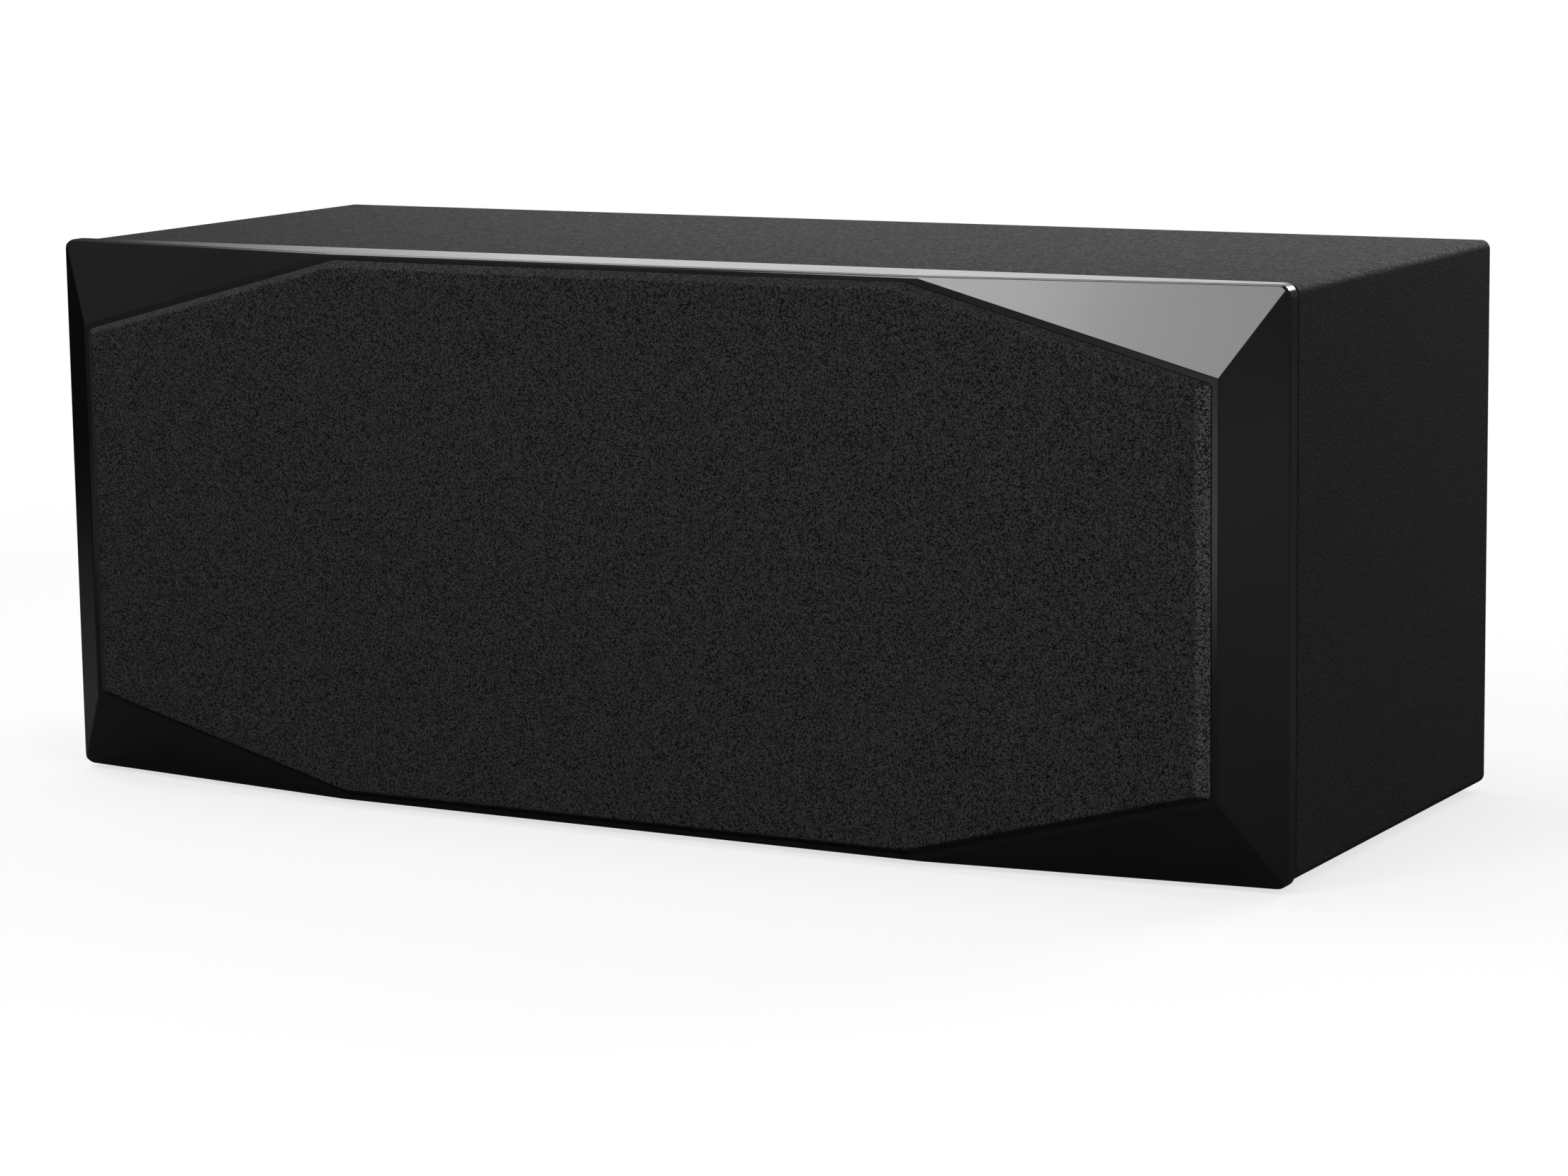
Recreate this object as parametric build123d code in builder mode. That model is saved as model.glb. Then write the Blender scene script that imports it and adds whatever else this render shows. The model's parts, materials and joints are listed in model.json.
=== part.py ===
from build123d import *
from math import atan, degrees
import os

# Center channel speaker: a wide sealed box with a faceted front and a cloth grille.
# Millimetres. +X is the listener's right, -Y the front, +Z up, and the feet stand on z = 0.

# Cabinet and baffle
width = 686.0
baffle_height = 277.2
cabinet_depth = 249.4
cabinet_setback = 1.4  # the baffle stands proud of the cabinet all round
cabinet_edge_radius = 4.5
wall = 18.0
baffle_corner_radius = 6.0
baffle_edge_radius = 2.0
bevel_depth = 20.5  # from the flat front back to the outer corners
side_strip = 8.0  # straight side of the baffle behind the bevels
bevel_run = 26.0  # outer side to the octagon's upright side
facet_run = 157.2  # upright side to the octagon's top corner
facet_drop = 41.3  # top edge down to the octagon's side corner
tongue_depth = 6.0
tongue_fit = 0.3
brace_thickness = 12.0
brace_gap = 3.0  # from the woofer opening
brace_window_margin = 45.0
foot_radius = 10.0
foot_side_count = 16
foot_height = 4.0
foot_inset = 38.0
wadding_size = (180.0, 200.0, 30.0)

# Grille
grille_proud = 6.0
grille_rim = 3.0  # strip of baffle left round the grille
grille_draft_run = 3.6
grille_end_run = 6.0  # the upright ends slope further in
grille_corner_radius = 3.0
grille_seat_gap = 0.3
cloth_thickness = 0.6
cloth_wrap = 7.0  # turned over the back of the frame
frame_width = 11.0
frame_fit = 0.1
rib_width = 8.0
rib_thickness = 4.0
magnet_size = (20.0, 5.0, 3.0)
magnet_spread = 100.0
magnet_margin = 1.5  # from the grille frame's inner edge
catch_thickness = 2.0
catch_upright_angle = 90
pocket_fit = 0.1

# Woofers: their turned pieces are drawn with flats in place of a full round, to keep the model light
turn_side_count = 24
woofer_radius = 104.0
woofer_edge_gap = 3.0  # from the grille frame
woofer_recess = 4.0  # flange's face behind the baffle's
flange_thickness = 5.0
flange_inner_radius = 90.0
rebate_fit = 0.4
basket_radius = 93.5
basket_fit = 1.5
basket_depth = 62.0
basket_foot_radius = 57.0
basket_foot_wall = 4.0
window_count = 4
window_inner_radius = 64.0
window_outer_radius = 84.0
window_width = 64.0
surround_lip_radius = 95.0
surround_crest_radii = (88.0, 82.0)
surround_rise = 6.0
surround_thickness = 1.1
cone_radius = 76.0
cone_rim = 2.4
cone_recess = 5.0
cone_depth = 29.0
coil_inner_radius = 20.2
coil_wall = 1.0
coil_length = 36.0
coil_pole_gap = 0.5
coil_plate_gap = 0.6
top_plate_radius = 60.0
top_plate_thickness = 6.0
magnet_outer_radius = 66.0
magnet_inner_radius = 34.0
magnet_thickness = 18.0
yoke_radius = 62.0
yoke_thickness = 7.0
pole_reach = 2.0
dust_cap_depth = 24.0  # cap's rim behind the cone's rim
dust_cap_rise = 9.0
dust_cap_crown_radius = 9.0
dust_cap_shoulder_rise = 6.5
dust_cap_shoulder_radius = 20.0
dust_cap_thickness = 1.0
glue_gap = 0.3
spider_depth = 50.0
spider_fold = 5.0
spider_thickness = 1.2

# Folded-film tweeter
tweeter_plate = (104.0, 132.0)
tweeter_plate_thickness = 5.0
tweeter_plate_radius = 8.0
tweeter_window = (44.0, 76.0)
tweeter_flare = 4.0
motor_block = (72.0, 96.0)
motor_block_fit = 1.0
pole_thickness = 4.0
slot_height = 5.0
slot_pitch = 9.0
slot_count = 8
bar_width = 15.0
bar_thickness = 8.0
film_pleat_count = 14
film_fold = 6.0
film_thickness = 0.4
film_gap = 0.5
cup_depth = 25.0
cup_wall = 2.0

# Crossover, on the cabinet's floor
board = (96.0, 128.0, 2.0)
coil_outer = 23.0
coil_core = 12.0
coil_side_count = 20
coil_height = 20.0
coil_spacing = 58.0
capacitor = (13.0, 28.0, 20.0)
capacitor_count = 3
capacitor_pitch = 34.0
resistor = (7.0, 26.0, 7.0)
resistor_count = 2
resistor_pitch = 36.0

# Terminals
terminal_height = 82.0
terminal_plate_size = (74.0, 52.0)
terminal_plate_thickness = 3.0
terminal_plate_radius = 6.0
terminal_cutout_margin = 11.0
post_spacing = 19.05
post_radius = 3.0
post_reach = 22.0
post_tail = 10.0
post_fit = 0.1
post_hole_side_count = 12
socket_radius = 2.0
socket_depth = 16.0
nut_across_flats = 10.0
nut_side_count = 6
nut_thickness = 5.0
cap_radius = 7.6
cap_side_count = 12
cap_length = 19.0
cap_seat_gap = 0.3

# Places that follow from the sizes
total_depth = (
    grille_proud + bevel_depth + side_strip + cabinet_depth + terminal_plate_thickness + post_reach
)
face_y = grille_proud - total_depth / 2
corner_y = face_y + bevel_depth
seam_y = corner_y + side_strip
back_y = seam_y + cabinet_depth
panel_y = back_y - wall
tongue_y = seam_y + tongue_depth
baffle_bottom = foot_height - cabinet_setback
middle_z = baffle_bottom + baffle_height / 2
floor_z = foot_height + wall
cabinet_width = width - 2 * cabinet_setback
cabinet_height = baffle_height - 2 * cabinet_setback
inner_width = cabinet_width - 2 * wall
inner_height = cabinet_height - 2 * wall
octagon_x = width / 2 - bevel_run
octagon_top_x = octagon_x - facet_run
octagon_side_z = baffle_height / 2 - facet_drop
cloth_inset = grille_rim + cloth_thickness
frame_opening_inset = cloth_inset + frame_width
woofer_x = octagon_x - frame_opening_inset - woofer_edge_gap - woofer_radius
woofer_opening = basket_radius + basket_fit
woofer_y = face_y + woofer_recess
grille_y = face_y - grille_seat_gap
grille_height = grille_proud - grille_seat_gap
grille_draft = degrees(atan(grille_draft_run / grille_height))
frame_height = grille_height - 2 * cloth_thickness
frame_corner_radius = grille_corner_radius - cloth_thickness
rib_x = woofer_x - woofer_radius
catch_inset = frame_opening_inset - magnet_margin - magnet_size[1] / 2
catch_side_x = octagon_x - catch_inset
catch_top_z = baffle_height / 2 - catch_inset
catch_places = [(side * catch_side_x, middle_z, catch_upright_angle) for side in (-1, 1)]
catch_places += [(x * magnet_spread, middle_z + z * catch_top_z, 0) for x in (-1, 1) for z in (-1, 1)]
basket_foot_inner_radius = basket_foot_radius - basket_foot_wall
neck_depth = cone_recess + cone_depth
cone_slope = (cone_radius - coil_inner_radius) / cone_depth
coil_outer_radius = coil_inner_radius + coil_wall
pole_radius = coil_inner_radius - coil_pole_gap
plate_hole_radius = coil_outer_radius + coil_plate_gap
pole_front_y = face_y + tweeter_plate_thickness
bar_y = pole_front_y + pole_thickness
pole_rear_y = bar_y + bar_thickness
cup_y = pole_rear_y + pole_thickness
film_width = motor_block[0] - 2 * (bar_width + film_gap)
film_height = slot_pitch * slot_count
board_y = (tongue_y + panel_y) / 2
board_top = Plane.XY.move(Location((0, board_y, floor_z + board[2])))
coil_row = board[0] / 2 - coil_outer - pocket_fit
capacitor_row = coil_row - coil_outer - capacitor[0]
resistor_row = capacitor_row - capacitor[0] / 2 - resistor[0]
post_end_y = back_y + terminal_plate_thickness + post_reach


def front_plane(y, x=0.0, z=middle_z):
    """A plane across the speaker, facing the listener, with X right and Z up."""
    return Plane(origin=(x, y, z), x_dir=(1, 0, 0), z_dir=(0, -1, 0))


def octagon(y, inset):
    """The baffle's octagon, drawn in by inset."""
    quarter = [(octagon_x, octagon_side_z), (octagon_top_x, baffle_height / 2)]
    corners = quarter + [(-x, z) for x, z in reversed(quarter)]
    corners += [(-x, -z) for x, z in corners]
    with BuildSketch(front_plane(y)) as shape:
        with BuildLine():
            Polyline(*corners, close=True)
        make_face()
        offset(amount=-inset, kind=Kind.INTERSECTION, mode=Mode.REPLACE)
    return shape.sketch


def turned_outline(y, side, radius):
    """The outline of a turned piece on a woofer's axis, at one depth."""
    with BuildSketch(front_plane(y, x=side * woofer_x)) as shape:
        RegularPolygon(radius, turn_side_count, major_radius=False, rotation=180 / turn_side_count)
    return shape.sketch


def turned_ring(side, *section):
    """A ring on a woofer's axis, from its section's (radius, depth behind the flange's face) corners."""
    path = turned_outline(woofer_y, side, section[0][0]).face().outer_wire()
    with BuildPart() as ring:
        with BuildSketch(Plane.XY.move(Location((side * woofer_x, woofer_y, middle_z)))):
            with BuildLine():
                Polyline(*section, close=True)
            make_face()
        sweep(path=path, transition=Transition.RIGHT)
    return ring


def rear_plane(y, x=0.0):
    """A plane across the back at the terminals' height, facing away from the listener."""
    return Plane(origin=(x, y, terminal_height), x_dir=(-1, 0, 0), z_dir=(0, 1, 0))


def basket_inner_radius(depth):
    """Radius of the basket's inner wall at a depth behind the flange's face."""
    return flange_inner_radius - (flange_inner_radius - basket_foot_inner_radius) * depth / basket_depth


# Cabinet

with BuildPart() as cabinet_shell:
    with BuildSketch(front_plane(seam_y)):
        RectangleRounded(cabinet_width, cabinet_height, cabinet_edge_radius)
        Rectangle(inner_width, inner_height, mode=Mode.SUBTRACT)
    extrude(amount=-cabinet_depth)

with BuildPart() as rear_panel:
    with BuildSketch(front_plane(panel_y)):
        Rectangle(inner_width, inner_height)
    extrude(amount=-wall)
    with BuildSketch(front_plane(panel_y, z=terminal_height)):
        Rectangle(*(side - 2 * terminal_cutout_margin for side in terminal_plate_size))
    extrude(amount=-wall, mode=Mode.SUBTRACT)

with BuildPart() as front_baffle:
    with BuildSketch(front_plane(face_y)):
        RectangleRounded(width, baffle_height, baffle_corner_radius)
    extrude(amount=-(bevel_depth + side_strip))
    for side in (-1, 1):
        # The upright bevel runs from the octagon's side back to the outer edge
        bevel_normal = (side * bevel_depth, -bevel_run, 0)
        split(bisect_by=Plane((side * octagon_x, face_y, middle_z), z_dir=bevel_normal), keep=Keep.BOTTOM)
        for up in (-1, 1):
            # Each corner facet holds a slanted side of the octagon and an outer corner
            slant = Vector(side * facet_run, 0, -up * facet_drop)
            outward = Vector(side * bevel_run, bevel_depth, up * facet_drop)
            facet_normal = slant.cross(outward) * side * up
            facet_start = (side * octagon_x, face_y, middle_z + up * octagon_side_z)
            split(bisect_by=Plane(facet_start, z_dir=facet_normal), keep=Keep.BOTTOM)
    fillet(
        [
            edge
            for edge in front_baffle.edges().filter_by(GeomType.LINE)
            if edge.length > bevel_run / 2 and edge.center().Y < seam_y
        ],
        baffle_edge_radius,
    )
    with BuildSketch(front_plane(seam_y)):
        Rectangle(inner_width - 2 * tongue_fit, inner_height - 2 * tongue_fit)
    extrude(amount=-tongue_depth)
    for side in (-1, 1):
        woofer_rebate = turned_outline(face_y, side, woofer_radius + rebate_fit)
        extrude(woofer_rebate, amount=-(woofer_recess + flange_thickness), mode=Mode.SUBTRACT)
        woofer_hole = turned_outline(face_y, side, woofer_opening)
        extrude(woofer_hole, amount=face_y - tongue_y, mode=Mode.SUBTRACT)
    with BuildSketch(front_plane(face_y)):
        RectangleRounded(*(s + 2 * rebate_fit for s in tweeter_plate), tweeter_plate_radius + rebate_fit)
    extrude(amount=-tweeter_plate_thickness, mode=Mode.SUBTRACT)
    with BuildSketch(front_plane(face_y)):
        Rectangle(*(s + 2 * motor_block_fit for s in motor_block))
    extrude(amount=-(tongue_y - face_y), mode=Mode.SUBTRACT)
    for x, z, turn in catch_places:
        with BuildSketch(front_plane(face_y, x=x, z=z)):
            Rectangle(magnet_size[0] + 2 * pocket_fit, magnet_size[1] + 2 * pocket_fit, rotation=turn)
        extrude(amount=-catch_thickness, mode=Mode.SUBTRACT)

with BuildPart() as baffle_catches:
    for x, z, turn in catch_places:
        with BuildSketch(front_plane(face_y, x=x, z=z)):
            Rectangle(magnet_size[0], magnet_size[1], rotation=turn)
        extrude(amount=-catch_thickness)

with BuildPart() as rubber_feet:
    with BuildSketch(Plane.XY):
        with Locations((0, (seam_y + back_y) / 2)):
            with GridLocations(cabinet_width - 2 * foot_inset, cabinet_depth - 2 * foot_inset, 2, 2):
                RegularPolygon(foot_radius, foot_side_count)
    extrude(amount=foot_height)


def brace(side):
    """An upright board between a woofer's chamber and the middle one, with a window in it."""
    start_x = side * (woofer_x - woofer_opening - brace_gap)
    side_plane = Plane((start_x, (tongue_y + panel_y) / 2, middle_z), x_dir=(0, 1, 0), z_dir=(-side, 0, 0))
    length = panel_y - tongue_y
    with BuildPart() as board_part:
        with BuildSketch(side_plane):
            Rectangle(length, inner_height)
            Rectangle(
                length - 2 * brace_window_margin,
                inner_height - 2 * brace_window_margin,
                mode=Mode.SUBTRACT,
            )
        extrude(amount=brace_thickness)
    return board_part


def wadding(side):
    """A pad of wadding against the rear panel, behind a woofer, standing on the cabinet's floor."""
    pad_width, pad_height, pad_thickness = wadding_size
    with BuildPart() as pad:
        with BuildSketch(front_plane(panel_y, x=side * woofer_x, z=floor_z + pad_height / 2)):
            Rectangle(pad_width, pad_height)
        extrude(amount=pad_thickness)
    return pad


brace_left = brace(-1)
brace_right = brace(1)
wadding_left = wadding(-1)
wadding_right = wadding(1)


# Grille


def grille_block(y, inset, corner_radius, height):
    """The grille's octagonal block from a depth forwards, its sloping sides drawn in by inset at the back."""
    inset_there = inset + (grille_y - y) * grille_draft_run / grille_height
    with BuildPart() as block:
        extrude(octagon(y, inset_there), amount=height, taper=grille_draft)
        for side in (-1, 1):
            end_foot = (side * (octagon_x - inset), grille_y, middle_z)
            split(bisect_by=Plane(end_foot, z_dir=(side * grille_height, -grille_end_run, 0)), keep=Keep.BOTTOM)
        fillet([edge for edge in block.edges() if edge.bounding_box().size.Y > height / 2], corner_radius)
    return block.part


with BuildPart() as grille_cloth:
    add(grille_block(grille_y, grille_rim, grille_corner_radius, grille_height))
    add(
        grille_block(grille_y - cloth_thickness, cloth_inset, frame_corner_radius, frame_height),
        mode=Mode.SUBTRACT,
    )
    extrude(octagon(grille_y, grille_rim + cloth_wrap), amount=cloth_thickness, mode=Mode.SUBTRACT)

with BuildPart() as grille_frame:
    frame_inset = cloth_inset + frame_fit
    add(grille_block(grille_y - cloth_thickness, frame_inset, frame_corner_radius, frame_height))
    extrude(octagon(grille_y, frame_opening_inset), amount=grille_height, mode=Mode.SUBTRACT)
    with BuildSketch(front_plane(grille_y - grille_height + cloth_thickness)):
        with GridLocations(2 * rib_x, 0, 2, 1):
            Rectangle(rib_width, baffle_height - 2 * (frame_inset + frame_width / 2))
    extrude(amount=-rib_thickness)
    for x, z, turn in catch_places:
        with BuildSketch(front_plane(grille_y - cloth_thickness, x=x, z=z)):
            Rectangle(magnet_size[0] + 2 * pocket_fit, magnet_size[1] + 2 * pocket_fit, rotation=turn)
        extrude(amount=magnet_size[2], mode=Mode.SUBTRACT)

with BuildPart() as grille_magnets:
    for x, z, turn in catch_places:
        with BuildSketch(front_plane(grille_y - cloth_thickness, x=x, z=z)):
            Rectangle(magnet_size[0], magnet_size[1], rotation=turn)
        extrude(amount=magnet_size[2])


# Woofers


def woofer(side):
    """One woofer's pieces, from the flange in the baffle's rebate back to the yoke."""
    frame = turned_ring(
        side,
        (flange_inner_radius, 0),
        (woofer_radius, 0),
        (woofer_radius, flange_thickness),
        (basket_radius, flange_thickness),
        (basket_foot_radius, basket_depth),
        (basket_foot_inner_radius, basket_depth),
    )
    with frame:
        with BuildSketch(front_plane(woofer_y, x=side * woofer_x)) as windows:
            with PolarLocations((window_inner_radius + window_outer_radius) / 2, window_count):
                Rectangle(window_outer_radius - window_inner_radius, window_width)
        extrude(windows.sketch, amount=-basket_depth, mode=Mode.SUBTRACT)

    outer_crest, inner_crest = surround_crest_radii
    surround = turned_ring(
        side,
        (surround_lip_radius, 0),
        (outer_crest, -surround_rise),
        (inner_crest, -surround_rise),
        (cone_radius, cone_recess),
        (cone_radius + cone_rim, cone_recess),
        (inner_crest + surround_thickness, surround_thickness - surround_rise),
        (outer_crest - surround_thickness, surround_thickness - surround_rise),
        (flange_inner_radius, 0),
    )
    cone = turned_ring(
        side,
        (cone_radius, cone_recess),
        (cone_radius + cone_rim, cone_recess),
        (coil_inner_radius + cone_rim, neck_depth),
        (coil_inner_radius, neck_depth),
    )
    voice_coil = turned_ring(
        side,
        (coil_inner_radius, neck_depth),
        (coil_outer_radius, neck_depth),
        (coil_outer_radius, neck_depth + coil_length),
        (coil_inner_radius, neck_depth + coil_length),
    )

    rim_depth = cone_recess + dust_cap_depth
    rim_radius = cone_radius - cone_slope * dust_cap_depth - glue_gap
    shoulder_depth = rim_depth - dust_cap_shoulder_rise
    crown_depth = rim_depth - dust_cap_rise
    dust_cap = turned_ring(
        side,
        (rim_radius, rim_depth),
        (dust_cap_shoulder_radius, shoulder_depth),
        (dust_cap_crown_radius, crown_depth),
        (dust_cap_crown_radius, crown_depth + dust_cap_thickness),
        (dust_cap_shoulder_radius - dust_cap_thickness, shoulder_depth + dust_cap_thickness),
        (rim_radius - 2 * dust_cap_thickness, rim_depth),
    )
    with dust_cap:
        crown = turned_outline(woofer_y + crown_depth, side, dust_cap_crown_radius)
        extrude(crown, amount=-dust_cap_thickness)

    inner_spider = coil_outer_radius + glue_gap
    outer_spider = basket_inner_radius(spider_depth + spider_thickness) - glue_gap
    fold_spider = (inner_spider + outer_spider) / 2
    spider = turned_ring(
        side,
        (inner_spider, spider_depth),
        (fold_spider, spider_depth - spider_fold),
        (outer_spider, spider_depth),
        (outer_spider, spider_depth + spider_thickness),
        (fold_spider, spider_depth - spider_fold + spider_thickness),
        (inner_spider, spider_depth + spider_thickness),
    )

    magnet_depth = basket_depth + top_plate_thickness
    yoke_depth = magnet_depth + magnet_thickness
    top_plate = turned_ring(
        side,
        (plate_hole_radius, basket_depth),
        (top_plate_radius, basket_depth),
        (top_plate_radius, magnet_depth),
        (plate_hole_radius, magnet_depth),
    )
    magnet = turned_ring(
        side,
        (magnet_inner_radius, magnet_depth),
        (magnet_outer_radius, magnet_depth),
        (magnet_outer_radius, yoke_depth),
        (magnet_inner_radius, yoke_depth),
    )
    with BuildPart() as yoke:
        extrude(turned_outline(woofer_y + yoke_depth, side, yoke_radius), amount=-yoke_thickness)
        pole_length = yoke_depth - basket_depth + pole_reach
        extrude(turned_outline(woofer_y + yoke_depth, side, pole_radius), amount=pole_length)

    return {
        "woofer_frame": frame,
        "woofer_surround": surround,
        "woofer_cone": cone,
        "woofer_dust_cap": dust_cap,
        "woofer_voice_coil": voice_coil,
        "woofer_spider": spider,
        "woofer_top_plate": top_plate,
        "woofer_magnet": magnet,
        "woofer_yoke": yoke,
    }


# Tweeter: a pleated film between two slotted pole plates, with a bar magnet at each side

with BuildPart() as tweeter_faceplate:
    with BuildSketch(front_plane(face_y)):
        RectangleRounded(*tweeter_plate, tweeter_plate_radius)
        Rectangle(*tweeter_window, mode=Mode.SUBTRACT)
    extrude(amount=-tweeter_plate_thickness)
    chamfer(tweeter_faceplate.faces().sort_by(Axis.Y)[0].inner_wires()[0].edges(), tweeter_flare)

with BuildPart() as tweeter_pole_front:
    with BuildSketch(front_plane(pole_front_y)):
        Rectangle(*motor_block)
        with GridLocations(0, slot_pitch, 1, slot_count):
            Rectangle(film_width, slot_height, mode=Mode.SUBTRACT)
    extrude(amount=-pole_thickness)

with BuildPart() as tweeter_pole_rear:
    with BuildSketch(front_plane(pole_rear_y)):
        Rectangle(*motor_block)
        with GridLocations(0, slot_pitch, 1, slot_count):
            Rectangle(film_width, slot_height, mode=Mode.SUBTRACT)
    extrude(amount=-pole_thickness)

with BuildPart() as tweeter_magnets:
    with BuildSketch(front_plane(bar_y)):
        with GridLocations(motor_block[0] - bar_width, 0, 2, 1):
            Rectangle(bar_width, motor_block[1])
    extrude(amount=-bar_thickness)

with BuildPart() as tweeter_diaphragm:
    # The film's zigzag seen from above: crests at the front, valleys at the back
    pitch = film_width / film_pleat_count
    film_front = bar_y + (bar_thickness - film_fold - film_thickness) / 2
    folds = [
        (pitch * step / 2 - film_width / 2, film_front + film_fold * (step % 2))
        for step in range(2 * film_pleat_count + 1)
    ]
    with BuildSketch(Plane.XY.offset(middle_z - film_height / 2)):
        with BuildLine():
            Polyline(*folds, *((x, y + film_thickness) for x, y in reversed(folds)), close=True)
        make_face()
    extrude(amount=film_height)

with BuildPart() as tweeter_cup:
    with BuildSketch(front_plane(cup_y)):
        Rectangle(*motor_block)
    extrude(amount=-cup_depth)
    with BuildSketch(front_plane(cup_y)):
        Rectangle(*(side - 2 * cup_wall for side in motor_block))
    extrude(amount=-(cup_depth - cup_wall), mode=Mode.SUBTRACT)


# Crossover

with BuildPart() as crossover_board:
    with BuildSketch(Plane.XY.move(Location((0, board_y, floor_z)))):
        Rectangle(board[0], board[1])
    extrude(amount=board[2])

with BuildPart() as crossover_coils:
    with BuildSketch(board_top):
        with Locations((coil_row, 0)):
            with GridLocations(0, coil_spacing, 1, 2):
                RegularPolygon(coil_outer, coil_side_count)
                RegularPolygon(coil_core, coil_side_count, mode=Mode.SUBTRACT)
    extrude(amount=coil_height)

with BuildPart() as crossover_capacitors:
    with BuildSketch(board_top):
        with Locations((capacitor_row, 0)):
            with GridLocations(0, capacitor_pitch, 1, capacitor_count):
                Rectangle(capacitor[0], capacitor[1])
    extrude(amount=capacitor[2])

with BuildPart() as crossover_resistors:
    with BuildSketch(board_top):
        with Locations((resistor_row, 0)):
            with GridLocations(0, resistor_pitch, 1, resistor_count):
                Rectangle(resistor[0], resistor[1])
    extrude(amount=resistor[2])


# Terminals

with BuildPart() as terminal_plate:
    with BuildSketch(rear_plane(back_y)):
        RectangleRounded(*terminal_plate_size, terminal_plate_radius)
        with GridLocations(post_spacing, 0, 2, 1):
            RegularPolygon(post_radius + post_fit, post_hole_side_count, major_radius=False, mode=Mode.SUBTRACT)
    extrude(amount=terminal_plate_thickness)

with BuildPart() as terminal_posts:
    with BuildSketch(rear_plane(back_y - post_tail)):
        with GridLocations(post_spacing, 0, 2, 1):
            Circle(post_radius)
    extrude(amount=post_tail + terminal_plate_thickness + post_reach)
    with BuildSketch(rear_plane(post_end_y)):
        with GridLocations(post_spacing, 0, 2, 1):
            Circle(socket_radius)
    extrude(amount=-socket_depth, mode=Mode.SUBTRACT)

with BuildPart() as terminal_nuts:
    with BuildSketch(rear_plane(back_y)):
        with GridLocations(post_spacing, 0, 2, 1):
            RegularPolygon(nut_across_flats / 2, nut_side_count, major_radius=False)
            RegularPolygon(post_radius + post_fit, post_hole_side_count, major_radius=False, mode=Mode.SUBTRACT)
    extrude(amount=-nut_thickness)


def screw_cap(side):
    """A fluted cap that screws down on one of the posts, open at both ends for a plug."""
    seat_y = back_y + terminal_plate_thickness + cap_seat_gap
    with BuildPart() as cap:
        with BuildSketch(rear_plane(seat_y, x=side * post_spacing / 2)):
            RegularPolygon(cap_radius, cap_side_count)
            Circle(post_radius + post_fit, mode=Mode.SUBTRACT)
        extrude(amount=cap_length)
    return cap


red_cap = screw_cap(-1)
black_cap = screw_cap(1)


pieces = {
    "cabinet_shell": cabinet_shell,
    "rear_panel": rear_panel,
    "front_baffle": front_baffle,
    "brace_left": brace_left,
    "brace_right": brace_right,
    "wadding_left": wadding_left,
    "wadding_right": wadding_right,
    "rubber_feet": rubber_feet,
    "baffle_catches": baffle_catches,
    "grille_frame": grille_frame,
    "grille_cloth": grille_cloth,
    "grille_magnets": grille_magnets,
    "tweeter_faceplate": tweeter_faceplate,
    "tweeter_pole_front": tweeter_pole_front,
    "tweeter_diaphragm": tweeter_diaphragm,
    "tweeter_magnets": tweeter_magnets,
    "tweeter_pole_rear": tweeter_pole_rear,
    "tweeter_cup": tweeter_cup,
    "crossover_board": crossover_board,
    "crossover_coils": crossover_coils,
    "crossover_capacitors": crossover_capacitors,
    "crossover_resistors": crossover_resistors,
    "terminal_plate": terminal_plate,
    "terminal_posts": terminal_posts,
    "terminal_nuts": terminal_nuts,
    "red_cap": red_cap,
    "black_cap": black_cap,
}
for side, word in ((-1, "left"), (1, "right")):
    pieces.update({f"{name}_{word}": piece for name, piece in woofer(side).items()})

os.makedirs("parts", exist_ok=True)
for name, piece in pieces.items():
    piece.part.label = name
    export_step(piece.part, f"parts/{name}.step")
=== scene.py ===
import json
import math
import bmesh
import bpy
import numpy as np
from mathutils import Matrix, Vector


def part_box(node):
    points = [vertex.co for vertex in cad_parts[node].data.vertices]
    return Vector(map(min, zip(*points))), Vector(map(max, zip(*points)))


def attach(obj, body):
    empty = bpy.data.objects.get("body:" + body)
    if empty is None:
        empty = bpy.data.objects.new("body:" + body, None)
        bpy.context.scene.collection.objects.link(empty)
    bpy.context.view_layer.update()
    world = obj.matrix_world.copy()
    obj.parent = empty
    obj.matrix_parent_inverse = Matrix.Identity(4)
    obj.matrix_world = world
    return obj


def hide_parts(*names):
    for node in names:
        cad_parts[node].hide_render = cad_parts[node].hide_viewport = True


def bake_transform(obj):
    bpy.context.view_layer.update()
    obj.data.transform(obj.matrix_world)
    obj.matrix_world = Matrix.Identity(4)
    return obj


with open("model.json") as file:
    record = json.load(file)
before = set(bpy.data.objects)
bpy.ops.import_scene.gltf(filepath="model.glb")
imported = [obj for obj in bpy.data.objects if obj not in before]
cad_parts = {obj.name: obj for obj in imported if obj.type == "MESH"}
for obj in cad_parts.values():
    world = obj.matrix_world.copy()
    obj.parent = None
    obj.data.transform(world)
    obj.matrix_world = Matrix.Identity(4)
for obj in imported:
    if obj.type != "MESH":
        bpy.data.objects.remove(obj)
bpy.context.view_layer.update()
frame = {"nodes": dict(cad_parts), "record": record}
nodes = frame["nodes"]
mm = 0.001
weldGap = 2e-6
print("frame loaded:", len(nodes), "nodes")


def boxMm(node):
    # low and high corners of a CAD node, in mm
    low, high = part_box(node)
    return np.array(low) / mm, np.array(high) / mm


# numpy surfaces

def gridQuads(rows, cols, closeRows, closeCols):
    # quad (i, j) joins grid points i, i+1 and j, j+1; a closed direction wraps to its start
    i, j = np.meshgrid(np.arange(rows - (not closeRows)), np.arange(cols - (not closeCols)), indexing="ij")
    nextI, nextJ = (i + 1) % rows, (j + 1) % cols
    quads = [i * cols + j, nextI * cols + j, nextI * cols + nextJ, i * cols + nextJ]
    return np.stack(quads, -1).reshape(-1, 4)


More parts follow.
